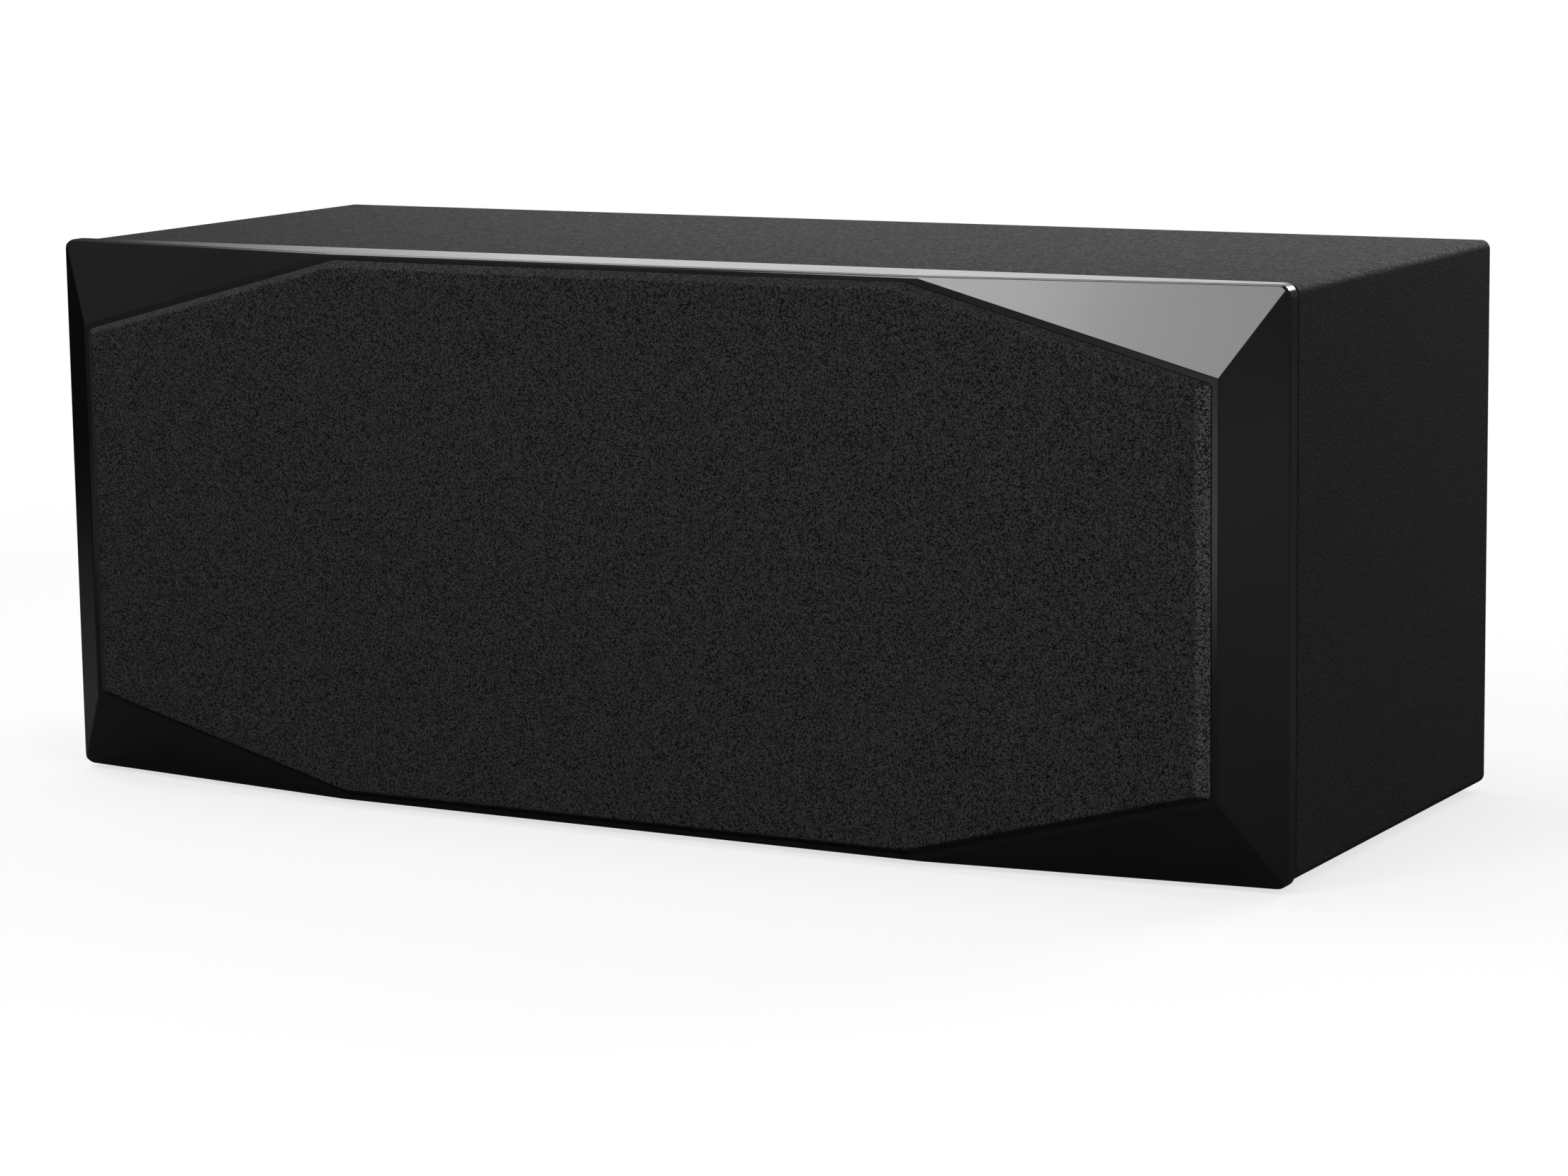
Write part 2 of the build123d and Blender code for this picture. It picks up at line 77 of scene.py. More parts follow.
def gridShell(points, closeRows=True, closeCols=True):
    # a grid of points (rows, cols, 3) in mm with its quads
    rows, cols = points.shape[:2]
    return points.reshape(-1, 3), gridQuads(rows, cols, closeRows, closeCols)


def turnedShell(profile, centre, axis="y", count=96, flute=None):
    # point (angle t, station k): centre + r_k cos t and r_k sin t across the axis, d_k along it
    profile = np.asarray(profile, float)
    t = np.linspace(0, 2 * np.pi, count, endpoint=False)[:, None]
    r = profile[None, :, 0] * np.ones_like(t)
    if flute is not None:
        r = r + flute["depth"] * np.asarray(flute["share"])[None, :] * np.cos(flute["count"] * t)
    d = profile[None, :, 1] * np.ones_like(t)
    a, b = r * np.cos(t), r * np.sin(t)
    local = np.stack([a, d, b] if axis == "y" else [a, b, d], -1)
    return gridShell(local + np.asarray(centre, float))


def rounded(corners, radius, steps):
    # each corner of a closed outline becomes an arc tangent to its two sides, as one array
    p = np.asarray(corners, float)
    a, b = np.roll(p, 1, 0) - p, np.roll(p, -1, 0) - p
    a, b = (v / np.linalg.norm(v, axis=1, keepdims=True) for v in (a, b))
    half = np.arccos(np.clip((a * b).sum(1), -1, 1)) / 2
    mid = (a + b) / np.linalg.norm(a + b, axis=1, keepdims=True)
    centre = p + mid * (radius / np.sin(half))[:, None]
    start, end = p + a * (radius / np.tan(half))[:, None], p + b * (radius / np.tan(half))[:, None]
    s = np.linspace(0, 1, steps + 1)[None, :, None]
    chord = start[:, None] * (1 - s) + end[:, None] * s - centre[:, None]
    arc = centre[:, None] + chord * radius / np.maximum(np.linalg.norm(chord, axis=2, keepdims=True), 1e-9)
    return arc.reshape(-1, 2)


def roundedBox(halfX, halfZ, radius, steps):
    # a rectangle about the origin with its four corners rounded
    return rounded([(halfX, halfZ), (halfX, -halfZ), (-halfX, -halfZ), (-halfX, halfZ)], radius, steps)


def quarterArc(centre, radius, fromDeg, toDeg, steps):
    # points at centre + radius (cos t, sin t) between two angles
    t = np.radians(np.linspace(fromDeg, toDeg, steps + 1))
    return [(centre[0] + radius * c, centre[1] + radius * s) for c, s in zip(np.cos(t), np.sin(t))]


def makePiece(name, shells, body, replaces=(), sharpDeg=35):
    # shells in mm are joined, doubles merged, normals turned outwards
    points = np.concatenate([p for p, q in shells]) * mm
    starts = np.cumsum([0] + [len(p) for p, q in shells[:-1]])
    faces = [face for (p, q), s in zip(shells, starts) for face in (np.asarray(q) + s).tolist()]
    mesh = bpy.data.meshes.new(name)
    mesh.from_pydata(points.tolist(), [], faces)
    work = bmesh.new()
    work.from_mesh(mesh)
    bmesh.ops.remove_doubles(work, verts=work.verts, dist=weldGap)
    bmesh.ops.recalc_face_normals(work, faces=work.faces)
    work.to_mesh(mesh)
    work.free()
    mesh.shade_smooth()
    mesh.set_sharp_from_angle(angle=math.radians(sharpDeg))
    piece = bpy.data.objects.new(name, mesh)
    bpy.context.scene.collection.objects.link(piece)
    if body:
        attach(piece, body)
    if replaces:
        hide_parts(*replaces)
    return piece


# finishes

def addNode(tree, kind, links=None, **settings):
    node = tree.nodes.new(kind)
    for key, value in settings.items():
        setattr(node, key, value)
    for socket, source in (links or {}).items():
        if hasattr(source, "is_output"):
            tree.links.new(source, node.inputs[socket])
        else:
            node.inputs[socket].default_value = source
    return node


def startFinish(name, metallic=0.0, specular=0.5, **sockets):
    material = bpy.data.materials.new(name)
    material.use_nodes = True
    tree = material.node_tree
    shader = tree.nodes["Principled BSDF"]
    shader.inputs["Metallic"].default_value = metallic
    shader.inputs["Specular IOR Level"].default_value = specular
    for socket, value in sockets.items():
        shader.inputs[socket.replace("_", " ")].default_value = value
    place = tree.nodes.new("ShaderNodeTexCoord").outputs["Object"]
    return material, tree, shader, place


def colourRamp(tree, factor, *stops):
    ramp = addNode(tree, "ShaderNodeValToRGB", {"Fac": factor})
    for position, colour in stops[2:]:
        ramp.color_ramp.elements.new(position)
    for element, (position, colour) in zip(ramp.color_ramp.elements, sorted(stops)):
        element.position = position
        element.color = (*colour, 1)
    return ramp.outputs["Color"]


def mapRange(tree, value, low, high, fromLow=0.0, fromHigh=1.0):
    return addNode(tree, "ShaderNodeMapRange", {"Value": value, "From Min": fromLow, "From Max": fromHigh,
                                                "To Min": low, "To Max": high}).outputs["Result"]


def mathNode(tree, operation, a, b=0.0):
    return addNode(tree, "ShaderNodeMath", {0: a, 1: b}, operation=operation).outputs[0]


def bumpTo(tree, shader, height, strength, distance):
    bump = addNode(tree, "ShaderNodeBump", {"Height": height, "Strength": strength,
                                            "Distance": distance * mm})
    tree.links.new(bump.outputs["Normal"], shader.inputs["Normal"])


def noiseAt(tree, place, sizeMm, detail=3.0, rough=0.5, stretch=None):
    # noise with features about sizeMm across; stretch squeezes it along an axis, as in brushed metal
    if stretch:
        place = addNode(tree, "ShaderNodeMapping", {"Vector": place, "Scale": stretch}).outputs["Vector"]
    return addNode(tree, "ShaderNodeTexNoise", {"Vector": place, "Scale": 1 / (sizeMm * mm), "Detail": detail,
                                                "Roughness": rough}).outputs["Fac"]


def mottledFinish(name, dark, light, roughness, grainMm, bumpMm, cloudMm=30.0, stretch=None, **sockets):
    # cloudy colour between dark and light, roughness following it, fine grain in the bump
    material, tree, shader, place = startFinish(name, **sockets)
    cloud = noiseAt(tree, place, cloudMm, 4.0, 0.6)
    grain = noiseAt(tree, place, grainMm, 2.0, 0.5, stretch)
    mixed = mathNode(tree, "MULTIPLY", mathNode(tree, "ADD", cloud, grain), 0.5)
    tree.links.new(colourRamp(tree, mixed, (0.35, dark), (0.65, light)), shader.inputs["Base Color"])
    tree.links.new(mapRange(tree, mixed, *roughness, 0.3, 0.7), shader.inputs["Roughness"])
    bumpTo(tree, shader, grain, 0.5, bumpMm)
    return material


vinylLook = {"pebbleMm": 1.05, "creaseMm": 1.9, "warpMm": (6.0, 0.9), "bumpMm": 0.3,
             "dark": (0.0138, 0.0138, 0.0141), "light": (0.0258, 0.0258, 0.0262), "specular": 0.06,
             "roughness": (0.54, 0.68), "creaseShare": 1.2, "creaseRough": 0.14}


def vinylFinish():
    # rounded pebbles from cell distances, with shallow creases between clumps of them
    material, tree, shader, place = startFinish("pebbledVinyl", specular=vinylLook["specular"])
    warpSize, warpReach = vinylLook["warpMm"]
    warp = addNode(tree, "ShaderNodeTexNoise", {"Vector": place, "Scale": 1 / (warpSize * mm), "Detail": 2.0})
    shift = addNode(tree, "ShaderNodeVectorMath", {0: warp.outputs["Color"], "Scale": warpReach * mm},
                    operation="SCALE")
    bent = addNode(tree, "ShaderNodeVectorMath", {0: place, 1: shift.outputs["Vector"]}, operation="ADD")
    pebble = addNode(tree, "ShaderNodeTexVoronoi", {"Vector": bent.outputs["Vector"],
                                                    "Scale": 1 / (vinylLook["pebbleMm"] * mm),
                                                    "Smoothness": 0.35},
                     feature="SMOOTH_F1").outputs["Distance"]
    crease = noiseAt(tree, place, vinylLook["creaseMm"], 3.0)
    dome = mapRange(tree, pebble, 1.0, 0.0, 0.1, 0.75)
    height = mathNode(tree, "ADD", dome, mathNode(tree, "MULTIPLY", crease, vinylLook["creaseShare"]))
    tree.links.new(colourRamp(tree, dome, (0.1, vinylLook["dark"]), (0.9, vinylLook["light"])),
                   shader.inputs["Base Color"])
    worn = mathNode(tree, "ADD", mapRange(tree, dome, vinylLook["roughness"][1], vinylLook["roughness"][0]),
                    mapRange(tree, crease, vinylLook["creaseRough"], -vinylLook["creaseRough"], 0.3, 0.7))
    tree.links.new(worn, shader.inputs["Roughness"])
    bumpTo(tree, shader, height, 0.5, vinylLook["bumpMm"])
    return material


lacquerLook = {"dark": (0.0026, 0.0026, 0.0027), "light": (0.0038, 0.0038, 0.0039), "roughness": (0.13, 0.17),
               "specular": 0.8, "cloudMm": 60.0, "peelMm": 1.6, "peelBump": (0.06, 0.03)}


def lacquerFinish():
    # even satin spray: faint orange peel, roughness drifting a little
    material, tree, shader, place = startFinish("satinLacquer", specular=lacquerLook["specular"])
    cloud = noiseAt(tree, place, lacquerLook["cloudMm"], 3.0)
    peel = noiseAt(tree, place, lacquerLook["peelMm"], 1.0)
    tree.links.new(colourRamp(tree, cloud, (0.3, lacquerLook["dark"]), (0.7, lacquerLook["light"])),
                   shader.inputs["Base Color"])
    tree.links.new(mapRange(tree, cloud, *lacquerLook["roughness"], 0.3, 0.7), shader.inputs["Roughness"])
    bumpTo(tree, shader, peel, *lacquerLook["peelBump"])
    return material


weaveLook = {"pitchMm": 1.12, "dark": (0.0015, 0.0015, 0.0016), "light": (0.042, 0.0413, 0.042),
             "bumpMm": 0.2, "glintShare": 0.7, "stops": (0.24, 0.78), "roughness": (0.8, 1.0)}


def clothFinish():
    # over and under: rows and columns of threads from the product of two sines, and one random value for each
    # half pitch, because every crossing catches the light a little differently
    material, tree, shader, place = startFinish("grilleWeave", specular=0.06, Sheen_Weight=0.02,
                                                Sheen_Roughness=0.5)
    split = addNode(tree, "ShaderNodeSeparateXYZ", {"Vector": place})
    pitch = weaveLook["pitchMm"] * mm
    turn = 2 * math.pi / pitch
    across = mathNode(tree, "SINE", mathNode(tree, "MULTIPLY", split.outputs["X"], turn))
    up = mathNode(tree, "SINE", mathNode(tree, "MULTIPLY", split.outputs["Z"], turn))
    weave = mapRange(tree, mathNode(tree, "MULTIPLY", across, up), 0.0, 1.0, -1.0, 1.0)
    cell = addNode(tree, "ShaderNodeVectorMath", {0: place, 1: (pitch / 2,) * 3}, operation="SNAP")
    glint = addNode(tree, "ShaderNodeTexWhiteNoise", {"Vector": cell.outputs["Vector"]}).outputs["Value"]
    lively = mathNode(tree, "ADD", mathNode(tree, "MULTIPLY", weave, 1 - weaveLook["glintShare"]),
                      mathNode(tree, "MULTIPLY", glint, weaveLook["glintShare"]))
    darkStop, lightStop = weaveLook["stops"]
    woven = colourRamp(tree, lively, (darkStop, weaveLook["dark"]), (lightStop, weaveLook["light"]))
    # painted light and shade: down the slopes over the frame's edge the weave is painted paler on the right
    # end and the left slanted sides, and darker on the left end and the right slanted sides, than on the
    # front
    paintedSlopeLight = addNode(tree, "ShaderNodeAttribute", attribute_name="paintedSlopeLight").outputs["Fac"]
    shadedWeave = addNode(tree, "ShaderNodeVectorMath", {0: woven, "Scale": paintedSlopeLight}, operation="SCALE")
    tree.links.new(shadedWeave.outputs["Vector"], shader.inputs["Base Color"])
    tree.links.new(mapRange(tree, glint, *weaveLook["roughness"]), shader.inputs["Roughness"])
    bumpTo(tree, shader, weave, 0.4, weaveLook["bumpMm"])
    return material


def windingFinish(name, dark, light, turnMm, metallic):
    # fine rings of wire up the coil: a sine of the height gives light crowns and dark gaps, a painted
    # highlight on each turn and painted shade between the turns
    material, tree, shader, place = startFinish(name, metallic=metallic)
    split = addNode(tree, "ShaderNodeSeparateXYZ", {"Vector": place})
    wave = mathNode(tree, "SINE", mathNode(tree, "MULTIPLY", split.outputs["Z"], 2 * math.pi / (turnMm * mm)))
    ring = mapRange(tree, wave, 0.0, 1.0, -1.0, 1.0)
    tree.links.new(colourRamp(tree, ring, (0.1, dark), (0.8, light)), shader.inputs["Base Color"])
    tree.links.new(mapRange(tree, noiseAt(tree, place, 4.0), 0.25, 0.42), shader.inputs["Roughness"])
    bumpTo(tree, shader, ring, 0.5, 0.2)
    return material


finishes = {
    "cabinet_vinyl": vinylFinish(),
    "baffle_lacquer": lacquerFinish(),
    "grille_cloth": clothFinish(),
    "fibreboard": mottledFinish("bareFibreboard", (0.27, 0.19, 0.12), (0.44, 0.33, 0.22), (0.75, 0.9),
                                0.7, 0.1, 18.0, specular=0.3),
    "wadding": mottledFinish("looseWadding", (0.66, 0.66, 0.63), (0.86, 0.86, 0.84), (0.85, 1.0),
                             1.6, 0.8, 22.0, specular=0.2, Sheen_Weight=0.3),
    "rubber": mottledFinish("mattRubber", (0.013, 0.013, 0.013), (0.022, 0.022, 0.022), (0.5, 0.66),
                            0.5, 0.04, 12.0, specular=0.4),
    "dark_steel": mottledFinish("blackenedSteel", (0.03, 0.03, 0.032), (0.065, 0.065, 0.07), (0.38, 0.52),
                                0.4, 0.03, 15.0, metallic=0.7),
    "black_plastic": mottledFinish("mouldedPlastic", (0.013, 0.013, 0.014), (0.02, 0.02, 0.021), (0.42, 0.55),
                                   0.35, 0.03, 25.0, specular=0.45),
    "cast_aluminium": mottledFinish("powderCoatedCasting", (0.014, 0.014, 0.015), (0.024, 0.024, 0.025),
                                    (0.4, 0.52), 0.45, 0.05, 25.0, specular=0.45),
    "film": mottledFinish("tracedFilm", (0.5, 0.34, 0.14), (0.66, 0.5, 0.26), (0.25, 0.4),
                          0.6, 0.02, 6.0, (0.1, 1.0, 3.0), metallic=0.5),
    "ferrite": mottledFinish("bareFerrite", (0.035, 0.035, 0.038), (0.075, 0.075, 0.08),
                             (0.55, 0.75), 0.8, 0.08, 14.0),
    "circuit_board": mottledFinish("greenLaminate", (0.05, 0.14, 0.07), (0.08, 0.2, 0.1),
                                   (0.3, 0.45), 0.6, 0.02, 9.0),
    "copper_winding": windingFinish("enamelledCopper", (0.25, 0.1, 0.04), (0.75, 0.38, 0.19), 1.2, 0.85),
    "capacitor_film": mottledFinish("boxedCapacitor", (0.42, 0.06, 0.05), (0.58, 0.1, 0.08),
                                    (0.25, 0.38), 0.7, 0.02, 8.0, specular=0.55),
    "resistor_ceramic": mottledFinish("cementCeramic", (0.72, 0.7, 0.65), (0.86, 0.84, 0.79),
                                      (0.7, 0.88), 0.5, 0.08, 6.0),
    "plated_brass": mottledFinish("goldPlate", (0.78, 0.56, 0.22), (0.9, 0.7, 0.34), (0.16, 0.3),
                                  0.5, 0.01, 5.0, metallic=1.0),
    "red_plastic": mottledFinish("redMoulding", (0.42, 0.012, 0.012), (0.58, 0.022, 0.02),
                                 (0.28, 0.4), 0.4, 0.02, 8.0, specular=0.5),
    "spider_cloth": mottledFinish("dippedCloth", (0.55, 0.4, 0.18), (0.74, 0.57, 0.3), (0.7, 0.85),
                                  0.5, 0.12, 7.0, specular=0.3),
    "plated_steel": mottledFinish("zincPlate", (0.5, 0.5, 0.52), (0.68, 0.68, 0.7), (0.28, 0.42),
                                  0.4, 0.02, 10.0, (1.0, 1.0, 6.0), metallic=1.0),
    "cone_poly": mottledFinish("filledPolypropylene", (0.012, 0.012, 0.013), (0.024, 0.024, 0.025),
                               (0.42, 0.58), 0.55, 0.05, 16.0, specular=0.45),
    "coil_former": windingFinish("formerWinding", (0.3, 0.13, 0.06), (0.7, 0.42, 0.26), 0.6, 0.8),
}
screwFinish = mottledFinish("blackScrew", (0.02, 0.02, 0.021), (0.045, 0.045, 0.048), (0.3, 0.42),
                            0.3, 0.02, 3.0, metallic=0.8)


def paint(piece, finish):
    piece.data.materials.clear()
    piece.data.materials.append(finish)


def dressedPiece(name, shells, body, slot, replaces=(), sharpDeg=35, finish=None):
    # a new piece in its slot's finish, or in one of its own
    piece = makePiece(name, shells, body, replaces, sharpDeg)
    paint(piece, finish or finishes[slot])
    return piece


for row in frame["record"]["subparts"]:
    paint(nodes[row["node"]], finishes[row["material_slot"]])


softEdge = {"weld": 1e-5, "angleDeg": 40, "segments": 2,
            "widthMm": {"rear_panel": 0.7, "terminal_plate": 0.5, "tweeter_faceplate": 0.5,
                        "tweeter_pole_front": 0.3}}
for name, widthMm in softEdge["widthMm"].items():
    # welds a CAD node's triangles and takes the bite off its hard edges
    weld = nodes[name].modifiers.new("weld", "WELD")
    weld.merge_threshold = softEdge["weld"]
    edge = nodes[name].modifiers.new("softEdge", "BEVEL")
    edge.width, edge.segments, edge.limit_method = widthMm * mm, softEdge["segments"], "ANGLE"
    edge.angle_limit = math.radians(softEdge["angleDeg"])
    edge.harden_normals = True
print("finishes made:", len(finishes))


# cabinet: a rounded rectangle carried from the seam to the back, with a thick wall

cabinet = {"edgeRadius": 4.5, "wall": 18.0, "groove": (5.4, 1.3), "grooveRound": 0.5, "backRound": 0.6,
           "cornerSteps": 8, "leastRadius": 0.3}
low, high = boxMm("cabinet_shell")
halfX, halfZ, midZ = (high[0] - low[0]) / 2, (high[2] - low[2]) / 2, (high[2] + low[2]) / 2
seamY, backY = low[1], high[1]


def cabinetLoop(y, inset):
    # outline drawn in by inset at depth y; its corner radius shrinks with it
    radius = max(cabinet["edgeRadius"] - inset, cabinet["leastRadius"])
    line = roundedBox(halfX - inset, halfZ - inset, radius, cabinet["cornerSteps"])
    return np.stack([line[:, 0], np.full(len(line), y), line[:, 1] + midZ], -1)


(grooveLong, grooveDeep), lip, backRound = cabinet["groove"], cabinet["grooveRound"], cabinet["backRound"]
grooveEnd = seamY + grooveLong
front = [(seamY, grooveDeep), (grooveEnd, grooveDeep)] + quarterArc((grooveEnd + lip, lip), lip, 180, 270, 3)
rear = quarterArc((backY - backRound, backRound), backRound, 270, 360, 4)
stations = [(seamY, cabinet["wall"])] + front + rear + [(backY, cabinet["wall"])]
cabinetShell = gridShell(np.stack([cabinetLoop(y, inset) for y, inset in stations]))
dressedPiece("cabinetWrap", [cabinetShell], "cabinet", "cabinet_vinyl", ["cabinet_shell"])


# baffle: a faceted block whose edges are rounded, then the rebates and openings are cut

baffle = {"bevelDepth": 20.5, "bevelRun": 26.0, "facetRun": 157.2, "facetDrop": 41.3,
          "cornerRadius": 6.0, "cornerSteps": 8, "edgeRadius": 2.0, "edgeSteps": 6, "backRadius": 0.5,
          "flatTurn": 0.01, "sharpTurnDeg": 18, "shadeDeg": 28, "nearSeam": 0.1, "pocketCorner": (0.4, 2),
          "wooferRebate": (104.9, 9.0), "wooferOpening": 95.5, "tweeterRebate": (52.4, 66.4, 8.4, 5.0),
          "tweeterOpening": (37.0, 49.0, 0.5, 2), "catchPocket": (10.1, 2.6, 2.0), "catchHalf": 2.5,
          "catchSpread": 100.0, "cutPast": (5.0, 30.0)}
low, high = boxMm("front_baffle")
faceY, outerX, outerZ = low[1], high[0], (high[2] - low[2]) / 2
octagonX = outerX - baffle["bevelRun"]
octagonSideZ = outerZ - baffle["facetDrop"]


def octagonCorners(endInset, sideInset):
    # the eight corners with the upright ends and the other sides drawn in by their own distances
    slope = baffle["facetDrop"] / baffle["facetRun"]
    endX, topZ = octagonX - endInset, outerZ - sideInset
    lineZ = octagonSideZ - sideInset * math.hypot(1, slope)  # height of the slanted side's line at octagonX
    quarter = [(octagonX - (topZ - lineZ) / slope, topZ), (endX, lineZ + slope * endInset)]
    right = quarter + [(x, -z) for x, z in reversed(quarter)]
    return np.array(right + [(-x, -z) for x, z in right])


def prismShell(outline, fromY, toY):
    # an outline carried straight back, its ends closed by fans to their middles
    middle = np.zeros_like(outline) + outline.mean(0)
    stations = ((middle, fromY), (outline, fromY), (outline, toY), (middle, toY))
    rings = [np.stack([line[:, 0], np.full(len(line), y), line[:, 1]], -1) for line, y in stations]
    return gridShell(np.stack(rings), False, True)


def baffleBlank():
    # a rounded slab, cut by the two upright bevel planes and the four corner facet planes
    slab = roundedBox(outerX, outerZ, baffle["cornerRadius"], baffle["cornerSteps"]) + (0, midZ)
    points, faces = prismShell(slab, faceY, seamY)
    mesh = bpy.data.meshes.new("frontBaffle")
    mesh.from_pydata((points * mm).tolist(), [], faces.tolist())
    work = bmesh.new()
    work.from_mesh(mesh)
    bmesh.ops.remove_doubles(work, verts=work.verts, dist=weldGap)
    bmesh.ops.recalc_face_normals(work, faces=work.faces)
    bmesh.ops.dissolve_limit(work, angle_limit=baffle["flatTurn"], verts=work.verts, edges=work.edges)
    slant = np.array([baffle["facetRun"], 0, -baffle["facetDrop"]])
    outward = np.array([baffle["bevelRun"], baffle["bevelDepth"], baffle["facetDrop"]])
    for x in (-1, 1):
        cuts = [((octagonX, octagonSideZ), (baffle["bevelDepth"], -baffle["bevelRun"], 0))]
        cuts += [((octagonX, octagonSideZ * z), np.cross(slant, outward) * (1, 1, z)) for z in (-1, 1)]
        for (onX, onZ), normal in cuts:
            geometry = work.verts[:] + work.edges[:] + work.faces[:]
            edge = bmesh.ops.bisect_plane(work, geom=geometry,
                                          plane_co=Vector((x * onX, faceY, onZ + midZ)) * mm,
                                          plane_no=Vector(normal) * Vector((x, 1, 1)),
                                          clear_outer=True)["geom_cut"]
            rim = [part for part in edge if isinstance(part, bmesh.types.BMEdge)]
            bmesh.ops.contextual_create(work, geom=rim)
    bmesh.ops.recalc_face_normals(work, faces=work.faces)
    weight = work.edges.layers.float.new("bevel_weight_edge")
    for edge in work.edges:
        turn = edge.calc_face_angle()
        behind = max(vert.co.y for vert in edge.verts) > (seamY - baffle["nearSeam"]) * mm
        along = abs(edge.verts[0].co.y - edge.verts[1].co.y) > weldGap
        radius = baffle["backRadius"] if behind and not along else baffle["edgeRadius"]
        # an arc of that radius starts radius * tan(half the turn) from the edge
        if turn > math.radians(baffle["sharpTurnDeg"]):
            edge[weight] = radius * math.tan(turn / 2) / baffle["edgeRadius"]
    work.to_mesh(mesh)
    work.free()
    return mesh


def bakedCopy(piece):
    # the piece's mesh with its modifiers applied
    bpy.context.view_layer.update()
    return bpy.data.meshes.new_from_object(piece.evaluated_get(bpy.context.evaluated_depsgraph_get()))


frontBaffle = bpy.data.objects.new("frontBaffle", baffleBlank())
bpy.context.scene.collection.objects.link(frontBaffle)
edgeRound = frontBaffle.modifiers.new("edgeRound", "BEVEL")
edgeRound.width, edgeRound.segments = baffle["edgeRadius"] * mm, baffle["edgeSteps"]
edgeRound.limit_method, edgeRound.use_clamp_overlap = "WEIGHT", False
frontBaffle.data = bakedCopy(frontBaffle)
frontBaffle.modifiers.clear()

wooferAxes = {}
for side in ("left", "right"):
    low, high = boxMm(f"woofer_frame_{side}")
    wooferAxes[side] = ((low[0] + high[0]) / 2, low[1], (low[2] + high[2]) / 2)
low, high = boxMm("tweeter_faceplate")
tweeterX, tweeterZ = (low[0] + high[0]) / 2, (low[2] + high[2]) / 2
catchLow, catchHigh = boxMm("baffle_catches")
catchX = catchHigh[0] - baffle["catchHalf"]
catchZ = (catchHigh[2] - catchLow[2]) / 2 - baffle["catchHalf"]
inFront, behind = faceY - baffle["cutPast"][0], seamY + baffle["cutPast"][1]

rebateR, rebateDepth = baffle["wooferRebate"]
openR = baffle["wooferOpening"]
cutters = []
for x, _, z in wooferAxes.values():
    stepY = faceY + rebateDepth
    steps = [(0, inFront), (rebateR, inFront), (rebateR, stepY), (openR, stepY), (openR, behind), (0, behind)]
    cutters.append([turnedShell(steps, (x, 0, z), count=128)])
rebateX, rebateZ, rebateCorner, rebateDepth = baffle["tweeterRebate"]
plateLine = roundedBox(rebateX, rebateZ, rebateCorner, baffle["cornerSteps"]) + (tweeterX, tweeterZ)
cutters.append([prismShell(plateLine, inFront, faceY + rebateDepth)])
opening = roundedBox(*baffle["tweeterOpening"]) + (tweeterX, tweeterZ)
cutters.append([prismShell(opening, inFront, behind)])
pocketX, pocketZ, pocketDepth = baffle["catchPocket"]
pockets = [(s * catchX, 0.0, pocketZ, pocketX) for s in (-1, 1)]
pockets += [(s * baffle["catchSpread"], u * catchZ, pocketX, pocketZ) for s in (-1, 1) for u in (-1, 1)]
pocketLines = [roundedBox(a, b, *baffle["pocketCorner"]) + (x, z + midZ) for x, z, a, b in pockets]
cutters.append([prismShell(line, inFront, faceY + pocketDepth) for line in pocketLines])

for count, shells in enumerate(cutters):
    cutter = makePiece(f"cutter{count}", shells, None)
    cut = frontBaffle.modifiers.new("cut", "BOOLEAN")
    cut.object, cut.operation, cut.solver = cutter, "DIFFERENCE", "EXACT"
    frontBaffle.data = bakedCopy(frontBaffle)
    frontBaffle.modifiers.clear()
    bpy.data.objects.remove(cutter)
frontBaffle.data.shade_smooth()
frontBaffle.data.set_sharp_from_angle(angle=math.radians(baffle["shadeDeg"]))
flatWeight = frontBaffle.modifiers.new("flatWeight", "WEIGHTED_NORMAL")
flatWeight.keep_sharp = True
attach(frontBaffle, "cabinet")
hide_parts("front_baffle")
paint(frontBaffle, finishes["baffle_lacquer"])
print("cabinet and baffle made")


# grille cloth: one loop carried from the turned-in edge behind, up the slope and in over the front

cloth = {"rim": 3.0, "endRun": 6.0, "sideRun": 3.6, "wrap": 7.0, "cornerRadius": 3.0, "thickness": 0.55,
         "shoulder": 0.84, "shoulderIn": 0.9, "cornerSteps": 6, "frontRings": 14,
         "footShare": 0.12, "footRound": 0.9, "footSteps": (0.4, 0.8, 1.0), "shoulderSteps": 7,
         # painted light and shade on the slopes: shares for the left and right ends and the slanted sides,
         # and the reach over which they grow
         "paintedEndLight": (-0.6, 0.9), "paintedSideLight": (0.1, -0.4), "paintedLightReach": 200.0, "cutMargin": 10.0}
low, high = boxMm("grille_cloth")
clothY, clothRise = high[1], high[1] - low[1]


def clothLoop(slope, inward, rise):
    # slope runs 0 at the foot to 1 at the front corner; inward is a further plain inset
    corners = octagonCorners(cloth["rim"] + cloth["endRun"] * slope + inward,
                             cloth["rim"] + cloth["sideRun"] * slope + inward)
    line = rounded(corners, cloth["cornerRadius"], cloth["cornerSteps"])
    return np.stack([line[:, 0], np.full(len(line), clothY - rise), line[:, 1] + midZ], -1)


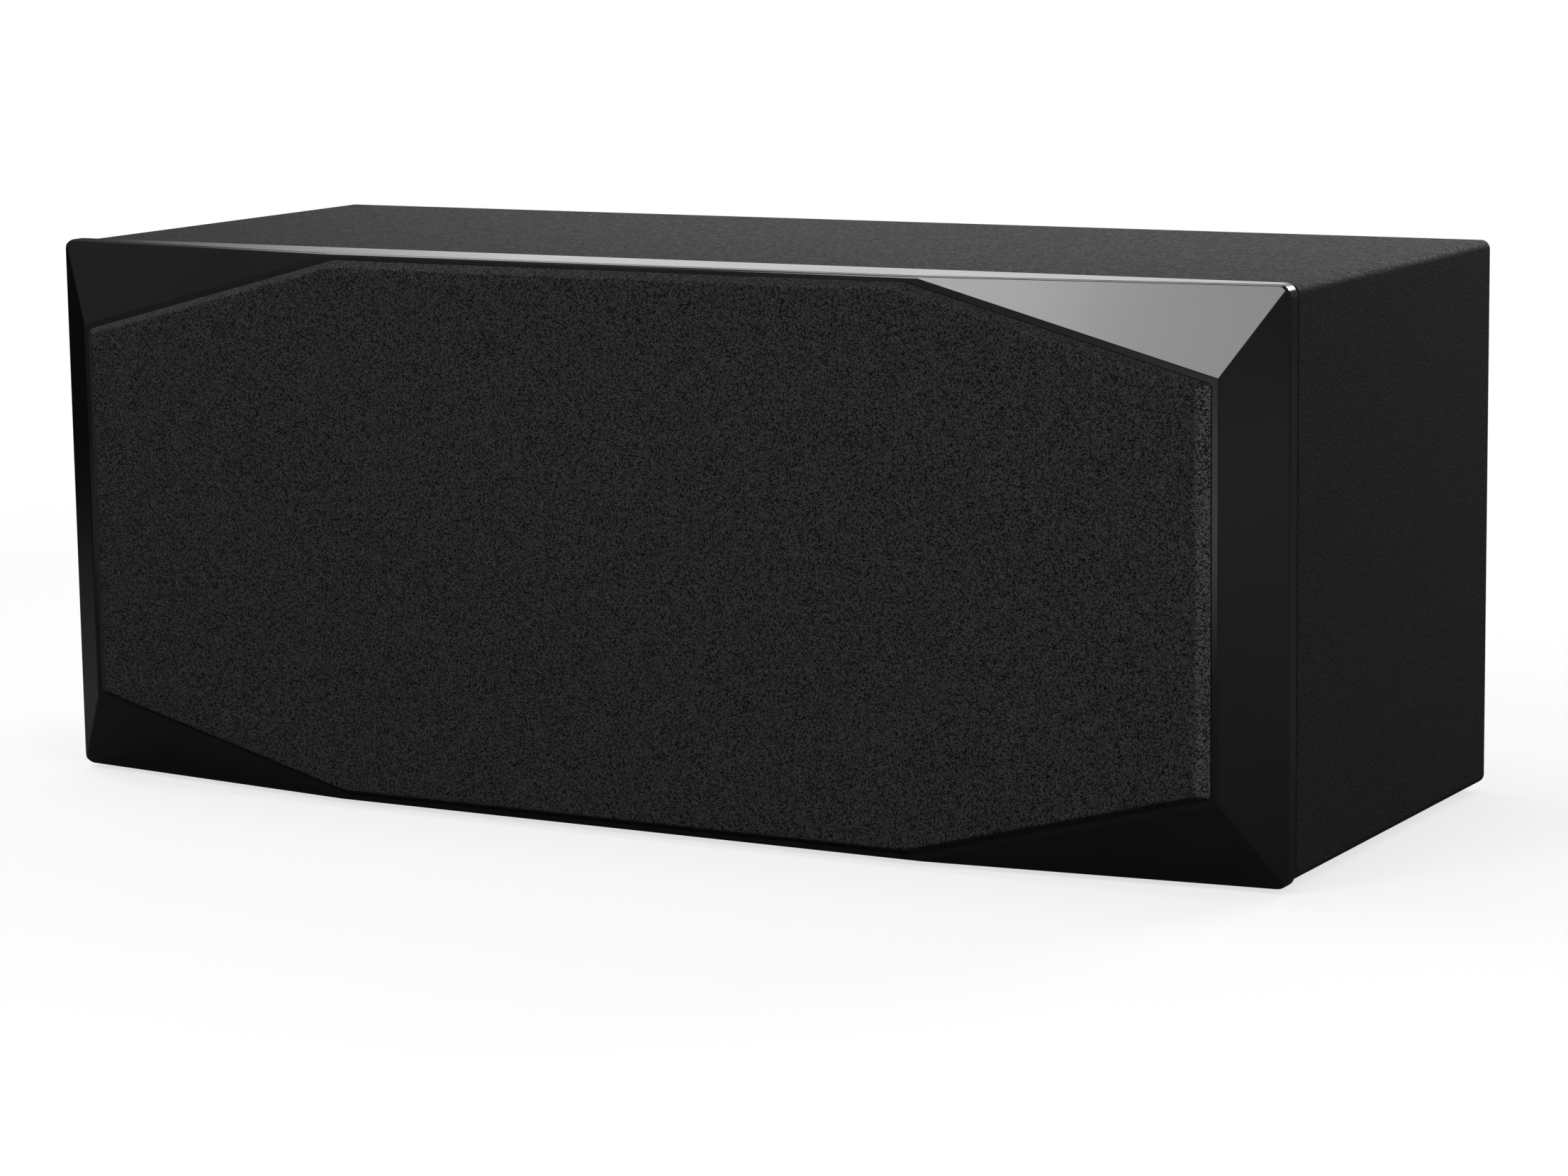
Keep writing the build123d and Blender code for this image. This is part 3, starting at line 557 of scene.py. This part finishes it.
def clothPiece():
    # rings of the outline: turned in behind, round the foot, up the slope, over the shoulder, to the middle
    footShare, footRound = cloth["footShare"], cloth["footRound"]
    back = [clothLoop(0, inward, 0) for inward in (cloth["wrap"], cloth["wrap"] / 2, footRound)]
    foot = [clothLoop(s * footShare, footRound * (1 - s) ** 2, clothRise * footShare * s ** 2)
            for s in cloth["footSteps"]]
    # shoulder: a quadratic bend from the slope over the front corner onto the flat
    t = np.linspace(0, 1, cloth["shoulderSteps"])
    start = cloth["shoulder"]
    slopes = start * (1 - t) ** 2 + 2 * t * (1 - t) + t ** 2
    shoulder = [clothLoop(s, cloth["shoulderIn"] * k ** 2, clothRise * s) for s, k in zip(slopes, t)]
    # front: the last loop shrinks to the middle
    middle = np.array([0, clothY - clothRise, midZ])
    shrink = np.linspace(1, 0, cloth["frontRings"] + 1)[1:]
    front = [middle + (shoulder[-1] - middle) * s for s in shrink]
    return gridShell(np.stack(back + foot + shoulder + front), False, True)


grilleCloth = dressedPiece("grilleCloth", [clothPiece()], "grille", "grille_cloth", ["grille_cloth"], 60)
# painted light and shade: 1 on the front, changing down the slopes by the share for the left or right ends
# and slanted sides
spots = np.empty(len(grilleCloth.data.vertices) * 3)
grilleCloth.data.vertices.foreach_get("co", spots)
spots = spots.reshape(-1, 3) / mm - (0, clothY - clothRise, midZ)
lean = np.clip(spots[:, 0] / cloth["paintedLightReach"], -1, 1)
spots = np.abs(spots)
tilt = baffle["facetDrop"] / baffle["facetRun"]
fromEnd = (octagonX - cloth["rim"] - spots[:, 0]) / cloth["endRun"]
slantGap = (octagonSideZ + tilt * (octagonX - spots[:, 0]) - spots[:, 2]) / math.hypot(1, tilt)
fromSide = (np.minimum(slantGap, outerZ - spots[:, 2]) - cloth["rim"]) / cloth["sideRun"]
share = np.where((fromEnd < fromSide)[:, None], cloth["paintedEndLight"], cloth["paintedSideLight"])
share = np.where(lean < 0, share[:, 0], share[:, 1]) * np.abs(lean)
paintedSlopeLight = 1 + np.clip(spots[:, 1] / clothRise / (1 - cloth["shoulder"]), 0, 1) * share
grilleCloth.data.attributes.new("paintedSlopeLight", "FLOAT", "POINT").data.foreach_set("value", paintedSlopeLight.astype(np.float32))
wall = grilleCloth.modifiers.new("clothThickness", "SOLIDIFY")
wall.thickness, wall.offset = cloth["thickness"] * mm, -1


# woofers: every turned piece is a profile of (radius, depth behind the flange's face) carried round the axis

woofer = {"flange": (90.0, 104.0, 5.0), "basketFoot": (53.0, 57.0, 62.0), "collarDepth": 10.0, "legTop": 9.5,
          "legFoot": 44.5, "legHalfDeg": 19.0, "surroundLip": 95.0, "rollMid": 85.2, "rollHalf": 8.2,
          "rollRise": 5.9, "surroundThickness": 0.88, "coneRim": 76.0, "coneRecess": 5.0, "coneDepth": 29.0,
          "coneWall": 1.3, "coil": (20.2, 21.2, 36.0), "capRim": 29.3, "capDepth": 24.0, "capRise": 9.0,
          "spider": (21.5, 58.6, 46.0, 51.0), "topPlate": (21.9, 60.0, 6.0), "magnet": (34.0, 66.0, 18.0),
          "yoke": (62.0, 19.7, 7.0, 26.0), "screws": 8, "screwRadius": 98.6, "screwHead": (2.9, 2.0),
          "basketTop": 93.5, "flangeRound": 1.2, "flangeLip": 0.5, "legLap": 0.5, "coneBow": 0.12,
          "spiderRipple": (0.7, 12, 0.9), "surroundLift": 0.2, "surroundLap": (0.4, 0.6), "coneLap": 1.0,
          "capLift": 0.6, "capWall": (0.96, 1.0), "coilEdge": 0.2, "magnetEdge": 1.0, "yokeEdge": 1.0,
          "blends": {"Surround": (0.8, 4.6), "Spider": (51.8, 45.6)}}


def thickened(line, thickness):
    # a line of (radius, depth) points and its copy moved along the normals, as one closed profile
    line = np.asarray(line, float)
    tangent = np.gradient(line, axis=0)
    normal = np.stack([-tangent[:, 1], tangent[:, 0]], -1)
    normal /= np.linalg.norm(normal, axis=1, keepdims=True)
    return np.concatenate([line, (line + normal * thickness)[::-1]])


def basketRadius(depth, inner):
    # straight taper from the flange down to the foot, inside or outside the wall
    footInner, footOuter, footDepth = woofer["basketFoot"]
    if inner:
        top, foot, start = woofer["flange"][0], footInner, 0.0
    else:
        top, foot, start = woofer["basketTop"], footOuter, woofer["flange"][2]
    return top + (foot - top) * (depth - start) / (footDepth - start)


def basketShells(centre):
    inner, outer, thick = woofer["flange"]
    d, bend, lip = woofer["collarDepth"], woofer["flangeRound"], woofer["flangeLip"]
    rim = quarterArc((outer - bend, bend), bend, -90, 0, 4)
    collar = [(inner, lip), (inner + lip, 0)] + rim + [(outer, thick), (woofer["basketTop"], thick)]
    collar = collar + [(basketRadius(d, False), d), (basketRadius(d, True), d)]
    f, footDepth = woofer["legFoot"] - woofer["legLap"], woofer["basketFoot"][2]
    foot = [(basketRadius(f, False), f), (woofer["basketFoot"][1], footDepth),
            (woofer["basketFoot"][0], footDepth), (basketRadius(f, True), f)]
    shells = [turnedShell(collar, centre, count=128), turnedShell(foot, centre)]
    # legs: a slice of the basket's wall over a small turn, closed at its two ends
    a, b = woofer["legTop"], woofer["legFoot"]
    ring = np.array([(basketRadius(a, False), a), (basketRadius(b, False), b), (basketRadius(b, True), b),
                     (basketRadius(a, True), a)])
    for middle in np.radians([45, 135, 225, 315]):
        t = middle + np.radians(np.linspace(-1, 1, 9) * woofer["legHalfDeg"])
        t = np.concatenate([t[:1], t, t[-1:]])
        section = np.stack([ring.mean(0) + 0 * ring] + [ring] * 9 + [ring.mean(0) + 0 * ring])
        points = np.stack([section[..., 0] * np.cos(t)[:, None], section[..., 1],
                           section[..., 0] * np.sin(t)[:, None]], -1)
        shells.append(gridShell(points + np.asarray(centre), False, True))
    return shells


def surroundProfile():
    # half roll: r = mid + half cos f, depth = recess s^2 - rise sin f - lift (1 - s) at the share s inwards
    f = np.linspace(0, np.pi, 25)
    s = (1 - np.cos(f)) / 2
    lift, (lapIn, lapDeep) = woofer["surroundLift"], woofer["surroundLap"]
    roll = np.stack([woofer["rollMid"] + woofer["rollHalf"] * np.cos(f),
                     woofer["coneRecess"] * s ** 2 - woofer["rollRise"] * np.sin(f) - lift * (1 - s)], -1)
    lip = [(woofer["surroundLip"], -lift)]
    skirt = [(woofer["coneRim"] + lapIn, woofer["coneRecess"] + lapDeep)]
    return thickened(np.concatenate([lip, roll, skirt]), -woofer["surroundThickness"])


def coneProfile():
    # slightly bowed: depth grows a little faster near the rim than on a straight cone
    s = np.linspace(0, 1, 20)
    rim = woofer["coneRim"] + woofer["coneLap"]
    r = rim + (woofer["coil"][0] - rim) * s
    d = woofer["coneRecess"] + woofer["coneDepth"] * (s + woofer["coneBow"] * s * (1 - s))
    return thickened(np.stack([r, d], -1), -woofer["coneWall"])


def capProfile():
    # dome: depth = rim - rise (1 - (r / rimRadius)^2)
    r = np.linspace(woofer["capRim"], 0, 18)
    rim = woofer["coneRecess"] + woofer["capDepth"] + woofer["capLift"]
    d = rim - woofer["capRise"] * (1 - (r / woofer["capRim"]) ** 2)
    share, wall = woofer["capWall"]
    return np.concatenate([np.stack([r, d], -1), np.stack([r[::-1] * share, d[::-1] + wall], -1)])


def spiderProfile():
    # cupped disc with small corrugations: depth = inner + (outer - inner) u + ripple sin(waves pi u)
    r0, r1, d0, d1 = woofer["spider"]
    u = np.linspace(0, 1, 73)
    ripple, waves, thickness = woofer["spiderRipple"]
    line = np.stack([r0 + (r1 - r0) * u, d0 + (d1 - d0) * u + ripple * np.sin(waves * np.pi * u)], -1)
    return thickened(line, thickness)


def ringProfile(inner, outer, start, depth, edge=0.5):
    # a square section with its two outer corners cut off by edge
    end = start + depth
    return [(inner, start), (outer - edge, start), (outer, start + edge), (outer, end - edge),
            (outer - edge, end), (inner, end)]


screwForm = {"headDeg": 80, "socketShare": 0.42, "socketFloor": 0.35}


def screwShells(places, headRadius, height, outwards):
    # pan head: r and height on a quarter ellipse, with a hexagon socket sunk in it
    t = np.radians(np.linspace(0, screwForm["headDeg"], 7))
    head = [(headRadius * c, height * s) for c, s in zip(np.cos(t), np.sin(t))]
    socket, sunk = headRadius * screwForm["socketShare"], height * screwForm["socketFloor"]
    profile = [(0, 0), (headRadius, 0)] + head[1:] + [(socket, height), (socket, sunk), (0, sunk)]
    profile = np.array(profile) * (1, outwards)
    return [turnedShell(profile, place, count=18) for place in places]


neck = woofer["coneRecess"] + woofer["coneDepth"]
coilInner, coilOuter, coilLength = woofer["coil"]
plateInner, plateOuter, plateThick = woofer["topPlate"]
magnetInner, magnetOuter, magnetThick = woofer["magnet"]
yokeR, poleR, yokeThick, poleLength = woofer["yoke"]
plateDepth = woofer["basketFoot"][2]
magnetDepth = plateDepth + plateThick
yokeDepth = magnetDepth + magnetThick
yokeEnd, yokeEdge = yokeDepth + yokeThick, woofer["yokeEdge"]
yokeLine = [(0, yokeDepth - poleLength), (poleR, yokeDepth - poleLength), (poleR, yokeDepth),
            (yokeR, yokeDepth), (yokeR, yokeEnd - yokeEdge), (yokeR - yokeEdge, yokeEnd), (0, yokeEnd)]
# each turned piece: profile, steps round, body, slot, CAD node, angle kept sharp; no body where it is blended
turnedParts = {
    "Surround": (surroundProfile(), 128, None, "rubber", "surround", 60),
    "Cone": (coneProfile(), 128, "cone", "cone_poly", "cone", 60),
    "DustCap": (capProfile(), 96, "cone", "cone_poly", "dust_cap", 60),
    "Coil": (ringProfile(coilInner, coilOuter, neck, coilLength, woofer["coilEdge"]), 96, "cone",
             "coil_former", "voice_coil", 35),
    "Spider": (spiderProfile(), 96, None, "spider_cloth", "spider", 80),
    "TopPlate": (ringProfile(plateInner, plateOuter, plateDepth, plateThick), 96, "cabinet", "plated_steel",
                 "top_plate", 35),
    "Magnet": (ringProfile(magnetInner, magnetOuter, magnetDepth, magnetThick, woofer["magnetEdge"]), 96,
               "cabinet", "ferrite", "magnet", 35),
    "Yoke": (yokeLine, 96, "cabinet", "plated_steel", "yoke", 35),
}
for side, centre in wooferAxes.items():
    x, y, z = centre
    bodies = {"cone": f"cone_{side}", "cabinet": "cabinet", None: None}
    dressedPiece(f"wooferBasket.{side}", basketShells(centre), "cabinet", "cast_aluminium",
                 [f"woofer_frame_{side}"])
    for part, (profile, count, body, slot, node, sharpDeg) in turnedParts.items():
        piece = dressedPiece(f"woofer{part}.{side}", [turnedShell(profile, centre, count=count)],
                             bodies[body], slot, [f"woofer_{node}_{side}"], sharpDeg)
        if part in woofer["blends"]:
            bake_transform(piece)
    t = 2 * np.pi * (np.arange(woofer["screws"]) + 0.5) / woofer["screws"]
    across, up = woofer["screwRadius"] * np.cos(t), woofer["screwRadius"] * np.sin(t)
    places = np.stack([x + across, np.full(len(t), y), z + up], -1)
    heads = screwShells(places, *woofer["screwHead"], -1)
    dressedPiece(f"wooferScrews.{side}", heads, "cabinet", "dark_steel", finish=screwFinish)
print("woofers made")


# tweeter screws, terminals, feet, wadding

tweeterScrew = {"spread": (44.0, 58.0), "head": (2.4, 1.5)}
spreadX, spreadZ = tweeterScrew["spread"]
places = [(tweeterX + sx * spreadX, faceY, tweeterZ + sz * spreadZ) for sx in (-1, 1) for sz in (-1, 1)]
heads = screwShells(places, *tweeterScrew["head"], -1)
dressedPiece("tweeterScrews", heads, "cabinet", "dark_steel", finish=screwFinish)

terminals = {"postRadius": 3.0, "socket": (2.0, 16.0), "capRadius": 7.25, "bore": 3.15, "flutes": 12,
             "fluteDepth": 0.33, "postEdge": 0.4, "socketEdge": 0.3, "capEdge": 0.7, "boreEdge": 0.5,
             "neck": ((3.0, 0.0), (3.4, 0.5), (4.2, 0.5), (4.6, 0.0)),
             "crown": ((1.4, 0.0), (0.5, 0.4), (0.0, 1.2)),
             "fluteShare": (0, 0, 0, 0, 0, 0, 1, 1, 0.6, 0, 0, 0),
             "screwSpread": (31.0, 20.0), "screwHead": (2.3, 1.4)}
low, high = boxMm("terminal_posts")
postX, postZ = high[0] - terminals["postRadius"], (low[2] + high[2]) / 2
r, (socketR, socketDepth), endY = terminals["postRadius"], terminals["socket"], high[1]
edge, lip = terminals["postEdge"], terminals["socketEdge"]
postLine = [(0, low[1]), (r, low[1]), (r, endY - edge), (r - edge, endY), (socketR + lip, endY),
            (socketR, endY - lip), (socketR, endY - socketDepth), (0, endY - socketDepth)]
posts = [turnedShell(postLine, (s * postX, 0, postZ), count=48) for s in (-1, 1)]
dressedPiece("bindingPosts", posts, "cabinet", "plated_brass", ["terminal_posts"])


def capShell(node, s):
    # knob: above its neck the radius swells and shrinks with the flutes, which fade at the crown
    low, high = boxMm(node)
    y0, y1, big, bore = low[1], high[1], terminals["capRadius"], terminals["bore"]
    edge, lip = terminals["capEdge"], terminals["boreEdge"]
    line = [(bore, y0), (big - edge, y0), (big, y0 + edge)]
    line += [(big - inward, y0 + along) for along, inward in terminals["neck"]]
    line += [(big - inward, y1 - along) for along, inward in terminals["crown"]]
    line += [(bore + lip, y1), (bore, y1 - lip)]
    flute = {"depth": terminals["fluteDepth"], "share": terminals["fluteShare"], "count": terminals["flutes"]}
    return turnedShell(line, (s * postX, 0, postZ), count=144, flute=flute)


for node, s, name in (("red_cap", -1, "redScrewCap"), ("black_cap", 1, "blackScrewCap")):
    slot = "red_plastic" if s < 0 else "black_plastic"
    dressedPiece(name, [capShell(node, s)], node, slot, [node], 30)
plateY = boxMm("terminal_plate")[1][1]
spreadX, spreadZ = terminals["screwSpread"]
places = [(sx * spreadX, plateY, postZ + sz * spreadZ) for sx in (-1, 1) for sz in (-1, 1)]
heads = screwShells(places, *terminals["screwHead"], 1)
dressedPiece("terminalScrews", heads, "cabinet", "dark_steel", finish=screwFinish)

foot = {"radius": 9.9, "round": 1.4, "inset": 10.0, "flat": 4.0, "draft": 0.5}
low, high = boxMm("rubber_feet")
xs = (low[0] + foot["inset"], high[0] - foot["inset"])
ys = (low[1] + foot["inset"], high[1] - foot["inset"])
footR, footRound = foot["radius"], foot["round"]
soleLine = [(0, 0), (foot["flat"], 0)] + quarterArc((footR - footRound, footRound), footRound, -90, 0, 5)
soleLine = soleLine + [(footR - foot["draft"], high[2]), (0, high[2])]
feet = [turnedShell(soleLine, (x, y, 0), "z", 64) for x in xs for y in ys]
dressedPiece("rubberFeet", feet, "cabinet", "rubber", ["rubber_feet"])

padLook = {"power": 0.34, "puffMm": 2.2, "dimpleMm": (17.0, 15.0), "fill": 0.45, "steps": (96, 49)}


def paddingShell(node):
    # box-like pad: signed powers of sines and cosines of two angles, with soft dimples from products of sines
    low, high = boxMm(node)
    half, middle = (high - low) / 2, (high + low) / 2
    u = np.linspace(-np.pi, np.pi, padLook["steps"][0], endpoint=False)[:, None]
    v = np.linspace(-np.pi / 2, np.pi / 2, padLook["steps"][1])[None, :]

    def soft(value):
        return np.sign(value) * np.abs(value) ** padLook["power"]

    unit = np.stack([soft(np.cos(v)) * soft(np.cos(u)), soft(np.sin(v)) + 0 * u,
                     soft(np.cos(v)) * soft(np.sin(u))], -1)
    points = unit * (half - padLook["puffMm"])
    dimpleX, dimpleZ = padLook["dimpleMm"]
    dimple = np.sin(points[..., 0] / dimpleX) * np.sin(points[..., 2] / dimpleZ) * np.cos(v)
    points = points + unit * (padLook["puffMm"] * dimple)[..., None]
    return gridShell(points + middle, True, False)


for side in ("left", "right"):
    pad = dressedPiece(f"waddingPad.{side}", [paddingShell(f"wadding_{side}")], "cabinet", "wadding",
                       [f"wadding_{side}"], 80)
print("terminals, feet and wadding made")


# studio: pale floor that fades out, soft lamps, camera

studio = {"floorSize": 2.6, "floorFade": (0.75, 1.25), "floorColour": (0.8, 0.8, 0.8), "floorRough": 0.8,
          # painted light and shade on the slab that the lacquer shows: tone ramps, a darker left, a paler far
          # front and a pale spot
          "slabTone": ((1.0, -0.4, 0.0), 0.055, 0.115, 0.3, 1.2),
          "slabLeft": ((1.0, 0.0, 0.0), 0.2, 1.0, -1.3, -0.5),
          "slabFar": ((-0.6, -0.8, 0.0), 0.0, 0.25, 1.8, 2.8),
          "paintedLightSpot": ((-0.4, -1.3, 0.0), 0.5, 0.0, 0.35, 0.75), "floorGlow": 0.7, "worldLight": 0.14}


def stagePlane(name, corners):
    mesh = bpy.data.meshes.new(name)
    mesh.from_pydata(corners, [], [(0, 1, 2, 3)])
    plane = bpy.data.objects.new(name, mesh)
    bpy.context.scene.collection.objects.link(plane)
    return plane


def straightRays(tree):
    # the light path, and 1 for what the camera sees straight or through something clear
    path = tree.nodes.new("ShaderNodeLightPath")
    return path, mathNode(tree, "MAXIMUM", path.outputs["Is Camera Ray"], path.outputs["Is Transmission Ray"])


half = studio["floorSize"]
floor = stagePlane("studioFloor", [(-half, -half, 0), (half, -half, 0), (half, half, 0), (-half, half, 0)])
material, tree, shader, place = startFinish("paleFloor", specular=0.0)
shader.inputs["Roughness"].default_value = studio["floorRough"]
reach = addNode(tree, "ShaderNodeVectorMath", {0: place}, operation="LENGTH").outputs["Value"]
# the camera sees a white floor that takes the shadow and melts into the backdrop; in the shine of the lacquer
# the slab is dark, with painted light and shade on it: a little paler towards the right and far in front,
# darker far to the left, with one painted pool of light
slab, left, far = (mapRange(tree, addNode(tree, "ShaderNodeVectorMath", {0: place, 1: studio[part][0]},
                                          operation="DOT_PRODUCT").outputs["Value"], *studio[part][1:])
                   for part in ("slabTone", "slabLeft", "slabFar"))
fromLightSpot = addNode(tree, "ShaderNodeVectorMath", {0: place, 1: studio["paintedLightSpot"][0]},
                   operation="DISTANCE").outputs["Value"]
# painted light: the pale spot and the paler far front are added to the slab's tone
pale = mathNode(tree, "ADD", far, mapRange(tree, fromLightSpot, *studio["paintedLightSpot"][1:]))
paintedFloorTone = mathNode(tree, "ADD", mathNode(tree, "MULTIPLY", slab, left), pale)
tree.links.new(paintedFloorTone, shader.inputs["Base Color"])
path, straight = straightRays(tree)
lit = addNode(tree, "ShaderNodeBsdfDiffuse", {"Color": (*studio["floorColour"], 1)})
glow = addNode(tree, "ShaderNodeEmission", {"Color": (1, 1, 1, 1), "Strength": 1.0})
fade = addNode(tree, "ShaderNodeMapRange", {"Value": reach, "From Min": studio["floorFade"][0],
                                            "From Max": studio["floorFade"][1], "To Min": studio["floorGlow"],
                                            "To Max": 1.0}, interpolation_type="SMOOTHSTEP").outputs["Result"]
white = addNode(tree, "ShaderNodeMixShader", {0: fade, 1: lit.outputs[0], 2: glow.outputs[0]})
seen = addNode(tree, "ShaderNodeMixShader", {0: straight, 1: shader.outputs[0], 2: white.outputs[0]})
tree.links.new(seen.outputs[0], tree.nodes["Material Output"].inputs["Surface"])
paint(floor, material)

# a white sweep stands far behind, for whatever shines or is seen through; its shine fades towards the left
sweep = {"left": -4.2, "right": 0.1, "bottom": 0.3, "top": 5.5, "away": 4.5, "fade": (0.05, 1.0, -3.9, -3.0),
         "colour": (0.8, 0.8, 0.8)}
left, right, low, high = (sweep[key] for key in ("left", "right", "bottom", "top"))
backdrop = stagePlane("whiteSweep", [(x, sweep["away"], z)
                                     for x, z in ((left, low), (right, low), (right, high), (left, high))])
material, tree, shader, place = startFinish("whiteBackdrop", specular=0.0)
shader.inputs["Base Color"].default_value = (*sweep["colour"], 1)
path, straight = straightRays(tree)
shown = mathNode(tree, "MAXIMUM", straight, path.outputs["Is Glossy Ray"])
toRight = addNode(tree, "ShaderNodeSeparateXYZ", {"Vector": place}).outputs["X"]
strength = mathNode(tree, "MAXIMUM", straight, mapRange(tree, toRight, *sweep["fade"]))
glow = addNode(tree, "ShaderNodeEmission", {"Color": (1, 1, 1, 1), "Strength": strength})
seen = addNode(tree, "ShaderNodeMixShader", {0: shown, 1: shader.outputs[0], 2: glow.outputs[0]})
tree.links.new(seen.outputs[0], tree.nodes["Material Output"].inputs["Surface"])
paint(backdrop, material)

# a black flag out of the picture on the left keeps that bevel dark
flag = {"away": -1.5, "front": -0.6, "back": 0.9, "top": 1.0}
front, back, high = flag["front"], flag["back"], flag["top"]
blackFlag = stagePlane("blackFlag", [(flag["away"], y, z)
                                     for y, z in ((front, 0), (back, 0), (back, high), (front, high))])
blackFlag.visible_camera = False
flagCloth = mottledFinish("flagCloth", (0.006, 0.006, 0.006), (0.012, 0.012, 0.012), (0.9, 1.0), 1.0, 0.1,
                          specular=0.0)
paint(blackFlag, flagCloth)

world = bpy.data.worlds.new("studioWorld")
bpy.context.scene.world = world
world.use_nodes = True
tree = world.node_tree
tree.nodes.clear()
path, straight = straightRays(tree)
lit = addNode(tree, "ShaderNodeBackground", {"Color": (1, 1, 1, 1), "Strength": studio["worldLight"]})
seen = addNode(tree, "ShaderNodeBackground", {"Color": (1, 1, 1, 1), "Strength": 1.0})
choose = addNode(tree, "ShaderNodeMixShader", {0: straight, 1: lit.outputs[0], 2: seen.outputs[0]})
out = tree.nodes.new("ShaderNodeOutputWorld")
tree.links.new(choose.outputs[0], out.inputs["Surface"])

# each lamp: place, aim, size, watts
lamps = {"keyLeft": ((-0.638, -1.801, 1.62), (-0.188, -0.041, 0.2), (0.7, 1.3), 17.5),
         "keyRight": ((0.089, -1.987, 1.62), (0.539, -0.227, 0.2), (0.8, 1.3), 12.0),
         "overheadSoftbox": ((-0.6, -0.1, 2.0), (-0.3, -0.1, 0.28), (1.0, 2.0), 22.0),
         "edgeStrip": ((-0.57, 1.2, 1.57), (0.15, -0.15, 0.27), (1.8, 0.5), 10.0),
         "backSoftbox": ((0.9, 2.2, 1.5), (0.0, 0.1, 0.15), (1.2, 0.8), 32.0),
         "fillSoftbox": ((1.9, -1.3, 0.9), (0.1, 0.0, 0.15), (1.0, 1.0), 25.0)}
for name, (at, aim, size, watts) in lamps.items():
    light = bpy.data.lights.new(name, "AREA")
    light.shape, light.size, light.size_y = "RECTANGLE", *size
    light.energy = watts
    holder = bpy.data.objects.new(name, light)
    holder.visible_glossy = name != "fillSoftbox"  # the fill makes no patch in the lacquer
    holder.location = at
    holder.rotation_euler = (Vector(aim) - Vector(at)).to_track_quat("-Z", "Y").to_euler()
    bpy.context.scene.collection.objects.link(holder)

cameraLook = {"at": (1.1205, -1.98735, 0.4763), "turnDeg": 29.19, "downDeg": 9.37, "rollDeg": -0.81,
              "lensMm": 103.36, "sensorMm": 36.0}
turn, down, roll = (math.radians(cameraLook[key]) for key in ("turnDeg", "downDeg", "rollDeg"))
ahead = Vector((-math.sin(turn) * math.cos(down), math.cos(turn) * math.cos(down), -math.sin(down)))
level = Vector((math.cos(turn), math.sin(turn), 0))
upright = level.cross(ahead)
rightward = level * math.cos(roll) + upright * math.sin(roll)
upward = upright * math.cos(roll) - level * math.sin(roll)
lens = bpy.data.cameras.new("photoCamera")
lens.sensor_fit = "HORIZONTAL"
lens.sensor_width, lens.lens = cameraLook["sensorMm"], cameraLook["lensMm"]
camera = bpy.data.objects.new("photoCamera", lens)
bpy.context.scene.collection.objects.link(camera)
facing = Matrix((rightward, upward, -ahead)).transposed().to_4x4()
camera.matrix_world = Matrix.Translation(cameraLook["at"]) @ facing
bpy.context.scene.camera = camera
bpy.context.scene.view_settings.view_transform = "Standard"
print("studio ready")
